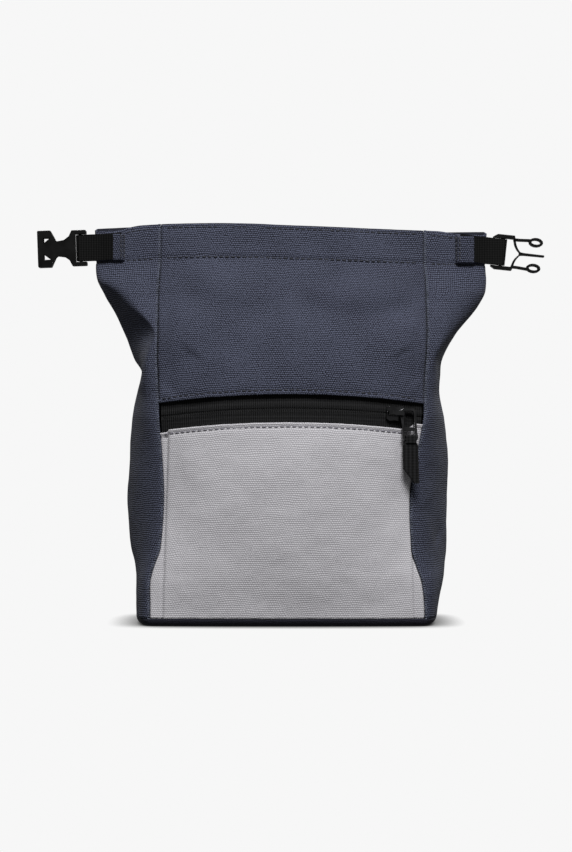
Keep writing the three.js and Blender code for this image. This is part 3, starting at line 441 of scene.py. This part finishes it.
def woven(name, dark, light, fine=1.0, strength=1.0, fleck=0.5, contrast=1.0):
    """Coarse plain weave: threads cross over and under in turn, and each one varies a little."""
    material, tree, shader = principled(name, light, 0.85, sheen=0.04, specular=0.15)
    source = tree.nodes.new("ShaderNodeAttribute")
    source.attribute_name = "threads"
    vector = source.outputs["Vector"]
    wander = noise_node(tree, vector, 0.12)
    split = tree.nodes.new("ShaderNodeSeparateXYZ")
    tree.links.new(vector, split.inputs[0])
    bent = math_node(tree, "MULTIPLY", wander, 2.2)
    u = math_node(tree, "ADD", split.outputs[0], bent)
    v = math_node(tree, "ADD", split.outputs[1], bent)
    # Rows of knots, shifted by half a knot from row to row
    across = math_node(tree, "COSINE", math_node(tree, "MULTIPLY", u, 2 * math.pi / (WEAVE_ACROSS * fine)))
    turn = math_node(tree, "MULTIPLY", v, math.pi / (WEAVE_UP * fine))
    cross = math_node(tree, "MULTIPLY", across, math_node(tree, "COSINE", turn))
    row = math_node(tree, "ABSOLUTE", math_node(tree, "COSINE", turn))
    knots = math_node(tree, "MULTIPLY_ADD", cross, 0.3, math_node(tree, "MULTIPLY_ADD", row, 0.6, 0.1))
    speckle = noise_node(tree, vector, 1.0 / fine, 3.0)
    blotch = noise_node(tree, vector, 0.03)
    tone = math_node(tree, "MULTIPLY_ADD", math_node(tree, "SUBTRACT", speckle, 0.5), fleck * 2, knots)
    tone = math_node(tree, "MULTIPLY_ADD", math_node(tree, "SUBTRACT", blotch, 0.5), 0.3, tone)
    tone = math_node(tree, "MULTIPLY_ADD", tone, contrast, 0.5 * (1 - contrast))
    tone.node.use_clamp = True
    tree.links.new(mixed(tree, tone, dark, light), shader.inputs["Base Color"])
    bump = tree.nodes.new("ShaderNodeBump")
    bump.inputs["Strength"].default_value = strength
    bump.inputs["Distance"].default_value = 0.3 * MM
    tree.links.new(knots, bump.inputs["Height"])
    tree.links.new(bump.outputs[0], shader.inputs["Normal"])
    return material


def ribbed(name, dark, light, pitch):
    """Tape or webbing: fine ribs side by side in X, crossed by finer ones in Z."""
    material, tree, shader = principled(name, light, 0.7, sheen=0.01, specular=0.12)
    place = tree.nodes.new("ShaderNodeTexCoord").outputs["Object"]
    split = tree.nodes.new("ShaderNodeSeparateXYZ")
    tree.links.new(place, split.inputs[0])
    turn = 2 * math.pi / (pitch * MM)
    cross_turn = 2 * math.pi / (0.7 * pitch * MM)
    wave = math_node(tree, "SINE", math_node(tree, "MULTIPLY", split.outputs[0], turn))
    cross = math_node(tree, "SINE", math_node(tree, "MULTIPLY", split.outputs[2], cross_turn))
    rib = math_node(tree, "MULTIPLY_ADD", wave, 0.35, math_node(tree, "MULTIPLY_ADD", cross, 0.15, 0.5))
    grain = noise_node(tree, place, 900.0)
    tone = math_node(tree, "MULTIPLY_ADD", math_node(tree, "SUBTRACT", grain, 0.5), 0.5, rib)
    tone.node.use_clamp = True
    tree.links.new(mixed(tree, tone, dark, light), shader.inputs["Base Color"])
    bump = tree.nodes.new("ShaderNodeBump")
    bump.inputs["Strength"].default_value = 0.8
    bump.inputs["Distance"].default_value = 0.25 * MM
    tree.links.new(rib, bump.inputs["Height"])
    tree.links.new(bump.outputs[0], shader.inputs["Normal"])
    return material


def hard(name, color, worn, roughness, metallic=0.0):
    """Moulded plastic or painted metal with a fine grain and slightly uneven gloss."""
    material, tree, shader = principled(name, color, roughness, metallic, specular=0.22)
    place = tree.nodes.new("ShaderNodeTexCoord").outputs["Object"]
    cloud = noise_node(tree, place, 160.0)
    grain = noise_node(tree, place, 2600.0)
    tree.links.new(mixed(tree, cloud, color, worn), shader.inputs["Base Color"])
    gloss = math_node(tree, "MULTIPLY_ADD", cloud, 0.2, roughness - 0.1)
    tree.links.new(gloss, shader.inputs["Roughness"])
    bump = tree.nodes.new("ShaderNodeBump")
    bump.inputs["Strength"].default_value = 0.12
    bump.inputs["Distance"].default_value = 0.05 * MM
    tree.links.new(grain, bump.inputs["Height"])
    tree.links.new(bump.outputs[0], shader.inputs["Normal"])
    return material


def thread_material(name, dark, light):
    """Twisted sewing thread."""
    material, tree, shader = principled(name, light, 0.6, sheen=0.2)
    place = tree.nodes.new("ShaderNodeTexCoord").outputs["Object"]
    twist = noise_node(tree, place, 1800.0)
    tree.links.new(mixed(tree, twist, dark, light), shader.inputs["Base Color"])
    return material


NAVY = woven("navy weave", (0.002, 0.002, 0.005), (0.098, 0.108, 0.159), contrast=1.6)
BASE_NAVY = woven("base weave", (0.008, 0.008, 0.014), (0.022, 0.023, 0.036))
LIGHT = woven("light weave", (0.30, 0.29, 0.31), (0.70, 0.69, 0.72), strength=0.7, fleck=0.25)
# Lining weave for the inside of the walls and the pocket's liner: its darkness is partly a coated lining's
# own colour and partly painted shade for the inside of the bag and between an ear's layers.
LINING_AND_PAINTED_SHADE = woven("lining weave and painted shade", (0.008, 0.009, 0.014), (0.02, 0.022, 0.032), fine=0.6, strength=0.3)
ZIP_TAPE = ribbed("zipper tape", (0.001, 0.001, 0.001), (0.018, 0.018, 0.019), RIB_PITCH)
WEBBING = ribbed("webbing", (0.0005, 0.0005, 0.0005), (0.006, 0.006, 0.006), 1.5)
PULL = ribbed("pull ribbon", (0.001, 0.001, 0.001), (0.014, 0.014, 0.015), 2.4)
PLASTIC = hard("buckle plastic", (0.001, 0.001, 0.001), (0.004, 0.004, 0.004), 0.38)
METAL = hard("black zipper metal", (0.07, 0.07, 0.073), (0.15, 0.15, 0.155), 0.22, 1.0)
# Navy thread much darker than the cloth: the thread's own colour together with painted shade of the grooves
# the stitches sit in.
NAVY_THREAD_AND_SHADE = thread_material("navy thread and painted shade", (0.006, 0.007, 0.014), (0.016, 0.018, 0.032))
LIGHT_THREAD = thread_material("light thread", (0.13, 0.125, 0.15), (0.28, 0.27, 0.31))
SEAM_THREAD = thread_material("seam thread", (0.060, 0.068, 0.095), (0.150, 0.170, 0.220))

# Panels
wall_foot = FOOT_RADIUS + PIECE_GAP


def face_grid(side, bottom, top, rows, margin=SEAM_GAP / 2, inward=0, columns=FACE_COLUMNS):
    """Grid of places (x, z) of a front or back patch, its points and each one's distance from its seam."""
    share = np.linspace(-1, 1, columns + 1)[None, :]
    level = np.linspace(0, 1, rows + 1)[:, None]
    x = share * FRONT_WIDTH / 2
    for _ in range(3):
        z = bottom(x) + (top(x) - bottom(x)) * level
        x = share * (seam_half(share, section(z)) - margin)
    near = inward(share, z) if callable(inward) else inward
    return x, z, face_point(x, z, near, side), (1 - np.abs(share)) * FRONT_WIDTH / 2


def level_at(height):
    return lambda x: np.zeros_like(np.asarray(x, float)) + height


def finished(grid, outward, seam_distance, shift, rim_distance=None, extra=0):
    """Turns the cloth in at its seams, draws it in along stitches and adds soft unevenness."""
    normal = normals_of(grid)
    if (normal * outward).sum(-1).mean() < 0:
        normal = -normal
    away = smooth(seam_distance, 0, UNEVEN_FADE)
    offset = sum(crumple(grid, size, height, shift + more) * away for size, height, more in UNEVENNESS)
    offset = offset - edge_turn(seam_distance) + extra
    if rim_distance is not None:
        offset = offset - groove(rim_distance - HEM_DEPTH) - groove(rim_distance - HEM_TOP, GROOVE * HEM_PULL)
        offset = offset + HEM_THICK * smooth(HEM_DEPTH - rim_distance, *HEM_STEP)
    return grid + normal * offset[..., None]


def zip_seam(distance):
    """The folded edge beside the zipper and the groove of its row of stitches."""
    return EDGE_FOLD * smooth(ZIP_STITCH - distance, 0, 1.0) - groove(distance - ZIP_STITCH)


FRONT = np.array((0, -1, 0))
BACK = np.array((0, 1, 0))

x, z, grid, seam = face_grid(-1, lambda x: zip_edge(x, 0), level_at(BAG_HEIGHT), FRONT_ROWS)
zip_row = zip_seam(z - zip_edge(x, 0))
grid = sunken(finished(grid, FRONT, seam, 0, BAG_HEIGHT - z, zip_row))
cloth("front_upper", grid, NAVY, "navy_fabric", ["front_upper_panel"], outward=FRONT, inside=LINING_AND_PAINTED_SHADE)

_, z, grid, seam = face_grid(1, level_at(wall_foot), level_at(BAG_HEIGHT), BACK_ROWS)
grid = finished(grid, BACK, seam, 31, BAG_HEIGHT - z)
cloth("back", grid, NAVY, "navy_fabric", ["back_panel"], outward=BACK, inside=LINING_AND_PAINTED_SHADE)


def past_pleat(x, z):
    """How far a place of the pocket lies past the pleat beside it."""
    return np.abs(x) - (FRONT_WIDTH / 2 - PLEAT_INSET - PLEAT_LEAN * z)


def pleat_step(share, z):
    x = share * seam_half(share, section(z))
    return PLEAT_STEP * smooth(past_pleat(x, z), -PLEAT_EDGE, PLEAT_EDGE)


def pocket_top(x):
    """The pocket's upper edge, a little lower beside the left pleat."""
    corner = PLEAT_CORNER * smooth(past_pleat(x, ZIP_TOP), 0, 2 * PLEAT_EDGE) * (np.asarray(x) < 0)
    return zip_foot(x) - corner


x, z, grid, seam = face_grid(
    -1, level_at(wall_foot), pocket_top, POCKET_ROWS, inward=pleat_step, columns=POCKET_COLUMNS
)
pleat_line = -groove(past_pleat(x, z) - PLEAT_EDGE, *PLEAT_GROOVE)
pocket_edge = zip_seam(pocket_top(x) - z)
grid = finished(grid, FRONT, seam, 57, None, pleat_line + pocket_edge)
cloth("pocket", grid, LIGHT, "light_fabric", ["pocket_panel"], outward=FRONT)

heights = np.linspace(wall_foot, BAG_HEIGHT, SIDE_ROWS)
side_grids = {}
for letter, name, sign in SIDES:
    grid = np.stack([side_line(letter, height, SIDE_COLUMNS) for height in heights])
    lengths = np.linalg.norm(np.diff(grid, axis=1), axis=-1)
    run = np.concatenate([np.zeros((len(heights), 1)), np.cumsum(lengths, axis=1)], axis=1)
    seam = np.minimum(run, run[:, [-1]] - run)
    rim = BAG_HEIGHT - heights[:, None] + 0 * seam
    outward = np.array((sign, 0, 0))
    grid = finished(grid, outward, seam, 70 + sign * 5, rim)
    # The front layer of an ear ends a little lower than its back layer.
    at_ear = smooth(np.abs(grid[..., 0]), BODY_WIDTH / 2 - EAR_FADE, BODY_WIDTH / 2 + EAR_FADE)
    near_rim = smooth(grid[..., 2], BAG_HEIGHT - EAR_RIM[0], BAG_HEIGHT - EAR_RIM[1])
    grid[..., 2] -= EAR_STEP * at_ear * smooth(-grid[..., 1], -EAR_TURN, EAR_TURN) * near_rim
    grid = sunken(grid)
    side_grids[letter] = grid
    cloth("side_" + name, grid, NAVY, "navy_fabric", ["side_panel_" + name], outward=outward, inside=LINING_AND_PAINTED_SHADE)

# Base
LIP_RINGS = 9
LIP_POWER = 1.6  # the lip's rings lie closer together near the floor
BASE_STEPS = 60  # along the front and along the back
FLAT_RINGS = (0, 0.25, 0.5, 0.75, 0.92)  # rings of the flat bottom, as shares of its size

ring_points = []
for ring in range(LIP_RINGS):
    height = FOOT_RADIUS * (ring / (LIP_RINGS - 1)) ** LIP_POWER
    steps = np.linspace(-1, 1, BASE_STEPS + 1)[:-1]
    sec = section(height)
    points = []
    for side in (-1, 1):
        share = steps * -side
        half = seam_half(share, sec)
        crown = (FRONT_CROWN if side < 0 else BACK_CROWN) * sec["crown"]
        arch = np.maximum(0, 1 - np.abs(share) ** CROWN_FULLNESS)
        face = np.stack([share * half, side * (sec["depth"] + crown * arch), 0 * share + height], -1)
        # The right side follows the front, and the left side, run backwards, follows the back.
        if side < 0:
            wall = side_line("R", height, SIDE_COLUMNS)[:-1]
        else:
            wall = side_line("L", height, SIDE_COLUMNS)[::-1][:-1]
        wall[:, 2] = height
        points += [face, wall]
    ring_points.append(np.concatenate(points))
flat = [ring_points[0] * np.array((share, share, 1)) for share in FLAT_RINGS]
rings = np.stack(flat + ring_points)
loop = np.concatenate([rings, rings[:, :1]], axis=1)
uv = np.stack([loop[..., 0], loop[..., 1] - loop[..., 2]], -1)
cloth("base", loop, BASE_NAVY, "base_fabric", ["base_panel"], outward=np.array((0, 0, -1)), uv=uv)

# Zipper and the pocket's inner wall
TAPE_ROOM = 0.2
TAPE_CLOTH = 0.8  # the tape's thickness, as a share of its solid's
TAPE_LINE = 5.0  # from the chain's middle to a raised line in the tape
TAPE_LINE_SHAPE = (0.18, 0.45)  # its height and spread
COIL_PLACE = 2.1  # from the chain's middle to the ridge over one row of the coil
COIL_SPREAD = 1.3
COIL_RISE = 0.36
COIL_RIBS = 0.24
TOOTH_PITCH = 1.3
TOOTH = 0.36  # radius
TOOTH_LEAN = 0.35
TOOTH_SPAN = (-0.1, 1.7)  # a tooth's two ends, from the chain's middle
TOOTH_OUT = (0.15, 0.25)  # and how far they lie in front of the tape's face
TEETH_REACH = 72  # from the middle of the bag to the last tooth
SLIDER_CLEAR = 6  # half the length without teeth, where the slider is

tape_depth = WALL + TAPE_ROOM + PLEAT_STEP + PIECE_GAP
slider_at = FRONT_WIDTH / 2 - SLIDER_INSET


def chain_line(x):
    return zip_edge(x, ZIP_OPENING / 2)


def tape_top(x):
    return zip_edge(x, -TAPE_OVERLAP)


def tape_foot(x):
    return zip_foot(x) - TAPE_OVERLAP


def liner_depth(share, z):
    room = POCKET_ROOM * (1 - share**4) * (1 - smooth(z, ZIP_TOP - ROOM_FADE, ZIP_TOP))
    return tape_depth + TAPE + 2 * PIECE_GAP + CHAIN_THICKNESS + room


_, _, grid, _ = face_grid(
    -1, level_at(wall_foot), tape_top, LINER_ROWS, LINER_MARGIN, liner_depth, LINER_COLUMNS
)
cloth("pocket_lining", grid, LINING_AND_PAINTED_SHADE, "liner_fabric", ["pocket_liner"], LINER, FRONT)

for name, bottom, top in (
    ("upper", lambda x: chain_line(x) + PIECE_GAP / 2, tape_top),
    ("lower", tape_foot, lambda x: chain_line(x) - PIECE_GAP / 2),
):
    x, z, grid, _ = face_grid(-1, bottom, top, TAPE_ROWS, TAPE_MARGIN, tape_depth, TAPE_COLUMNS)
    from_chain = np.abs(z - chain_line(x))
    coil = np.exp(-(((from_chain - COIL_PLACE) / COIL_SPREAD) ** 2))
    ribs = np.cos(2 * math.pi * x / RIB_PITCH)
    grid[..., 1] -= coil * (COIL_RISE + COIL_RIBS * ribs) + groove(from_chain - TAPE_LINE, *TAPE_LINE_SHAPE)
    cloth("tape_" + name, grid, ZIP_TAPE, "zip_tape", ["zipper_tape_" + name], TAPE * TAPE_CLOTH, FRONT)


def rods(name, ends, radius, material, slot, nodes=(), sides=6):
    """One mesh of short rounded rods between pairs of points, in millimetres."""
    vertices = []
    faces = []
    # Place of each ring along the rod and its size, as shares of the length and of the radius
    rings = ((0.0, 0.45), (0.12, 0.9), (0.5, 1.0), (0.88, 0.9), (1.0, 0.45))
    for start, end in ends:
        axis = end - start
        side = np.cross(axis, (0.0, 1.0, 0.03))
        side = side / np.linalg.norm(side)
        other = np.cross(axis, side)
        other = other / np.linalg.norm(other)
        first = len(vertices)
        for share, size in rings:
            for k in range(sides):
                angle = 2 * math.pi * k / sides
                turn = side * math.cos(angle) + other * math.sin(angle)
                vertices.append((start + axis * share + turn * radius * size) * MM)
        for r in range(len(rings) - 1):
            for k in range(sides):
                a = first + r * sides + k
                b = first + r * sides + (k + 1) % sides
                faces.append((a, b, b + sides, a + sides))
        faces.append(tuple(first + k for k in reversed(range(sides))))
        faces.append(tuple(first + (len(rings) - 1) * sides + k for k in range(sides)))
    mesh = bpy.data.meshes.new(name)
    mesh.from_pydata([tuple(v) for v in vertices], [], faces)
    mesh.validate()
    work = bmesh.new()
    work.from_mesh(mesh)
    bmesh.ops.recalc_face_normals(work, faces=work.faces)
    work.to_mesh(mesh)
    work.free()
    mesh.polygons.foreach_set("use_smooth", [True] * len(mesh.polygons))
    return link_object(name, mesh, material, slot, *nodes)


teeth = []
for at in np.arange(-TEETH_REACH, TEETH_REACH + 1, TOOTH_PITCH):
    if abs(at - slider_at) < SLIDER_CLEAR:
        continue
    for lean in (-1, 1):
        place = at + (TOOTH_PITCH / 2 if lean > 0 else 0)
        middle = chain_line(place)
        start = face_point(place, middle + lean * TOOTH_SPAN[0], tape_depth - TOOTH_OUT[0])
        end = face_point(place + TOOTH_LEAN, middle + lean * TOOTH_SPAN[1], tape_depth - TOOTH_OUT[1])
        teeth.append((start, end))
rods("zipper_teeth", teeth, TOOTH, ZIP_TAPE, "zip_tape", ["zipper_coil"])

# Stitches
HEM_ROWS = ((HEM_DEPTH, 0.1), (HEM_TOP, -0.35))  # distance from the rim, and depth of the thread's middle
HEM_ROW_REACH = 1.01  # lengths of the front's rows, as shares
ZIP_ROW_REACH = 0.97
POCKET_ROW_REACH = 0.95
ZIP_ROW_SINK = 0.12
SIDE_THREAD_LIFT = 0.15


def run_of(path):
    """Distance of each point of a path from its start, along the path."""
    return np.concatenate([[0], np.cumsum(np.linalg.norm(np.diff(path, axis=0), axis=1))])


def point_at(path, run, at):
    return np.array([np.interp(at, run, path[:, k]) for k in range(3)])


def stitch_row(path, pitch=STITCH_PITCH, length=STITCH_LENGTH):
    """Pairs of points, one for each stitch along a path."""
    run = run_of(path)
    starts = np.arange(pitch / 2, run[-1] - length, pitch)
    return [(point_at(path, run, at), point_at(path, run, at + length)) for at in starts]


across = np.linspace(-77, 77, 200)
navy_rows = []
for side in (-1, 1):
    for drop, sink in HEM_ROWS:
        level = np.full_like(across, BAG_HEIGHT - drop)
        half = seam_half(across, section(level)) / (FRONT_WIDTH / 2)
        navy_rows += stitch_row(face_point(across * half * HEM_ROW_REACH, level, sink, side))
for letter in "LR":
    for drop in (HEM_DEPTH, HEM_TOP):
        row = int(np.argmin(np.abs(heights - (BAG_HEIGHT - drop))))
        line = side_grids[letter][row]
        half_count = SIDE_COLUMNS // 2
        for part in (line[2:half_count - 1], line[half_count + 2:-2]):
            shift = np.zeros_like(part)
            shift[:, 1] = np.sign(part[:, 1].mean()) * SIDE_THREAD_LIFT
            navy_rows += stitch_row(part + shift)
navy_rows += stitch_row(face_point(across * ZIP_ROW_REACH, zip_edge(across, -ZIP_STITCH), ZIP_ROW_SINK))
# The dark colour of their thread includes painted shade of the stitch grooves.
rods("navy_stitches", navy_rows, THREAD, NAVY_THREAD_AND_SHADE, "navy_fabric")

ticks = []
for letter in "LR":
    for line in side_grids[letter]:
        for part in (line[:TICK_POINTS], line[::-1][:TICK_POINTS]):
            run = run_of(part)
            lift = np.array((0, np.sign(part[0, 1]) * TICK * TICK_LIFT, 0))
            ticks.append((point_at(part, run, TICK_FROM) + lift, point_at(part, run, TICK_LENGTH) + lift))
rods("seam_stitches", ticks, TICK, SEAM_THREAD, "navy_fabric", sides=5)

pocket_across = across * POCKET_ROW_REACH
light_path = face_point(pocket_across, zip_foot(pocket_across) - ZIP_STITCH, ZIP_ROW_SINK)
rods("light_stitches", stitch_row(light_path), THREAD, LIGHT_THREAD, "light_fabric")

# Hardware
DOUBLE_POINTS = 0.01  # points nearer than this are one
FLAT_ANGLE = 1.5  # degrees: faces that meet at less are one face
SHARP_ANGLE = 28  # degrees: edges that bend more are rounded
ROUND_PROFILE = 0.6


def moulded(name, node, round_over, material, slot, segments=3):
    """The CAD shape with rounded edges."""
    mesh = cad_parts[node].data.copy()
    mesh.name = name
    work = bmesh.new()
    work.from_mesh(mesh)
    bmesh.ops.remove_doubles(work, verts=work.verts, dist=DOUBLE_POINTS * MM)
    flat = math.radians(FLAT_ANGLE)
    bmesh.ops.dissolve_limit(work, angle_limit=flat, verts=work.verts, edges=work.edges)
    bend = math.radians(SHARP_ANGLE)
    sharp = [e for e in work.edges if len(e.link_faces) == 2 and e.calc_face_angle(0) > bend]
    bmesh.ops.bevel(
        work,
        geom=sharp,
        offset=round_over * MM,
        segments=segments,
        profile=ROUND_PROFILE,
        affect="EDGES",
        clamp_overlap=True,
    )
    for face in work.faces:
        face.smooth = True
    work.to_mesh(mesh)
    work.free()
    piece = link_object(name, mesh, material, slot, node)
    smoothing = piece.modifiers.new("smoothing", "WEIGHTED_NORMAL")
    smoothing.keep_sharp = True
    return piece


moulded("slider", "zipper_slider", 0.8, METAL, "zip_metal", 4)
moulded("link", "pull_link", 0.45, METAL, "zip_metal", 4)
moulded("pull", "pull_tab", 0.3, PULL, "pull_fabric")
moulded("tab_left", "webbing_tab_left", 0.25, WEBBING, "webbing")
moulded("tab_right", "webbing_tab_right", 0.25, WEBBING, "webbing")
moulded("socket_half", "buckle_socket_half", 0.5, PLASTIC, "buckle_plastic")
moulded("prong_half", "buckle_prong_half", 0.35, PLASTIC, "buckle_plastic")

# Strips of cloth that cover the ends of the webbing
def ear_depth(letter, x, z):
    """Half the thickness of an ear at places (x, z)."""
    made = np.zeros_like(x)
    for r, height in enumerate(z[:, 0]):
        line = side_line(letter, height, SIDE_COLUMNS)[: SIDE_COLUMNS // 2 + 1]
        made[r] = np.interp(np.abs(x[r]), np.abs(line[:, 0]), np.abs(line[:, 1]))
    return made


cover_rows = []
for letter, name, sign in SIDES:
    low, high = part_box("webbing_tab_" + name)
    inner = (high.x if letter == "L" else low.x) / MM
    middle = (low.z + high.z) / 2 / MM
    outboard = np.linspace(0, COVER_WIDTH[letter], COVER_POINTS[1])[None, :] - COVER_INSET
    rows = np.linspace(-1, 1, COVER_POINTS[0])[:, None]
    x = inner + sign * outboard + 0 * rows
    z = middle + rows * (WEBBING_WIDTH / 2 + COVER_PAST) + 0 * outboard
    over = PIECE_GAP + WEBBING_THICKNESS + COVER_CLOTH
    ear = ear_depth(letter, x, z)
    raised = smooth(outboard, *COVER_RISE) * (1 - np.abs(rows) ** COVER_EDGE)
    for side, layer in ((-1, "front"), (1, "back")):
        grid = np.stack([x, side * (ear + (ear.max(axis=0) - ear + over) * raised), z], -1)
        cover_name = f"cover_{layer}_{letter.lower()}"
        cloth(cover_name, grid, NAVY, "navy_fabric", (), COVER_CLOTH, np.array((0, side, 0)))
        for place in COVER_ROWS:
            line = grid[1:-1, int(np.argmin(np.abs(outboard[0] - place)))].copy()
            line[:, 1] += side * COVER_THREAD_LIFT
            cover_rows += stitch_row(line, COVER_STITCH_PITCH, COVER_STITCH_LENGTH)
rods("cover_stitches", cover_rows, THREAD, NAVY_THREAD_AND_SHADE, "navy_fabric")

# Stage: pale floor, soft light and the photograph's camera
WORLD_SEEN = 0.93
WORLD_LIGHT = 0.125
SHADOW_REACH = 0.018  # metres
SHADOW_FALL = 1.6


def sweep(name, corners):
    """A floor as bright as the surroundings, with a soft shadow where something stands on it."""
    mesh = bpy.data.meshes.new(name)
    mesh.from_pydata(corners, [], [(0, 1, 2, 3)])
    backdrop = bpy.data.objects.new(name, mesh)
    bpy.context.scene.collection.objects.link(backdrop)
    material, tree, shader = principled(name, (0, 0, 0), 1.0, specular=0.0)
    shader.inputs["Emission Color"].default_value = (1, 1, 1, 1)
    closeness = tree.nodes.new("ShaderNodeAmbientOcclusion")
    closeness.inputs["Distance"].default_value = SHADOW_REACH
    openness = math_node(tree, "POWER", closeness.outputs["AO"], SHADOW_FALL)
    tree.links.new(math_node(tree, "MULTIPLY", openness, WORLD_SEEN), shader.inputs["Emission Strength"])
    mesh.materials.append(material)
    backdrop.visible_diffuse = False
    backdrop.visible_glossy = False


sweep("floor", [(-4, -4, 0), (4, -4, 0), (4, 4, 0), (-4, 4, 0)])

world = bpy.data.worlds.new("studio")
world.use_nodes = True
# The studio's pale surroundings are seen at full brightness and give a soft, dimmer light.
seen = world.node_tree.nodes.new("ShaderNodeLightPath").outputs["Is Camera Ray"]
strength = math_node(world.node_tree, "MULTIPLY_ADD", seen, WORLD_SEEN - WORLD_LIGHT, WORLD_LIGHT)
background = world.node_tree.nodes["Background"]
background.inputs[0].default_value = (1, 1, 1, 1)
world.node_tree.links.new(strength, background.inputs[1])
bpy.context.scene.world = world
bpy.context.scene.view_settings.view_transform = "Standard"


def area_light(name, place, aim, size, power):
    data = bpy.data.lights.new(name, "AREA")
    data.size = size
    data.energy = power
    lamp = bpy.data.objects.new(name, data)
    bpy.context.scene.collection.objects.link(lamp)
    direction = Vector(aim) - Vector(place)
    lamp.location = place
    lamp.rotation_euler = direction.to_track_quat("-Z", "Y").to_euler()
    return lamp


area_light("front_key", (0.2, -1.3, 1.6), (0, 0, 0.12), 0.7, 46)
area_light("left_rim", (-1.1, 1.6, 0.7), (0, 0, 0.1), 0.8, 6)
area_light("right_rim", (1.1, 1.6, 0.7), (0, 0, 0.1), 0.8, 6)
area_light("back_fill", (0, 1.7, 1.3), (0, 0, 0.12), 0.8, 26)

# Camera: level, straight at the front, with the photograph's field of view
PHOTO_LONG_SIDE = 852  # pixels
FOCAL = 2520  # pixels
CAMERA_DISTANCE = 1500
CAMERA_X = -1.5
CAMERA_HEIGHT = 115.6
SENSOR = 36

camera_data = bpy.data.cameras.new("camera")
camera_data.sensor_width = SENSOR
camera_data.lens = SENSOR * FOCAL / PHOTO_LONG_SIDE
camera = bpy.data.objects.new("camera", camera_data)
bpy.context.scene.collection.objects.link(camera)
camera.location = Vector((CAMERA_X, -CAMERA_DISTANCE, CAMERA_HEIGHT)) * MM
camera.rotation_euler = (math.pi / 2, 0, 0)
bpy.context.scene.camera = camera
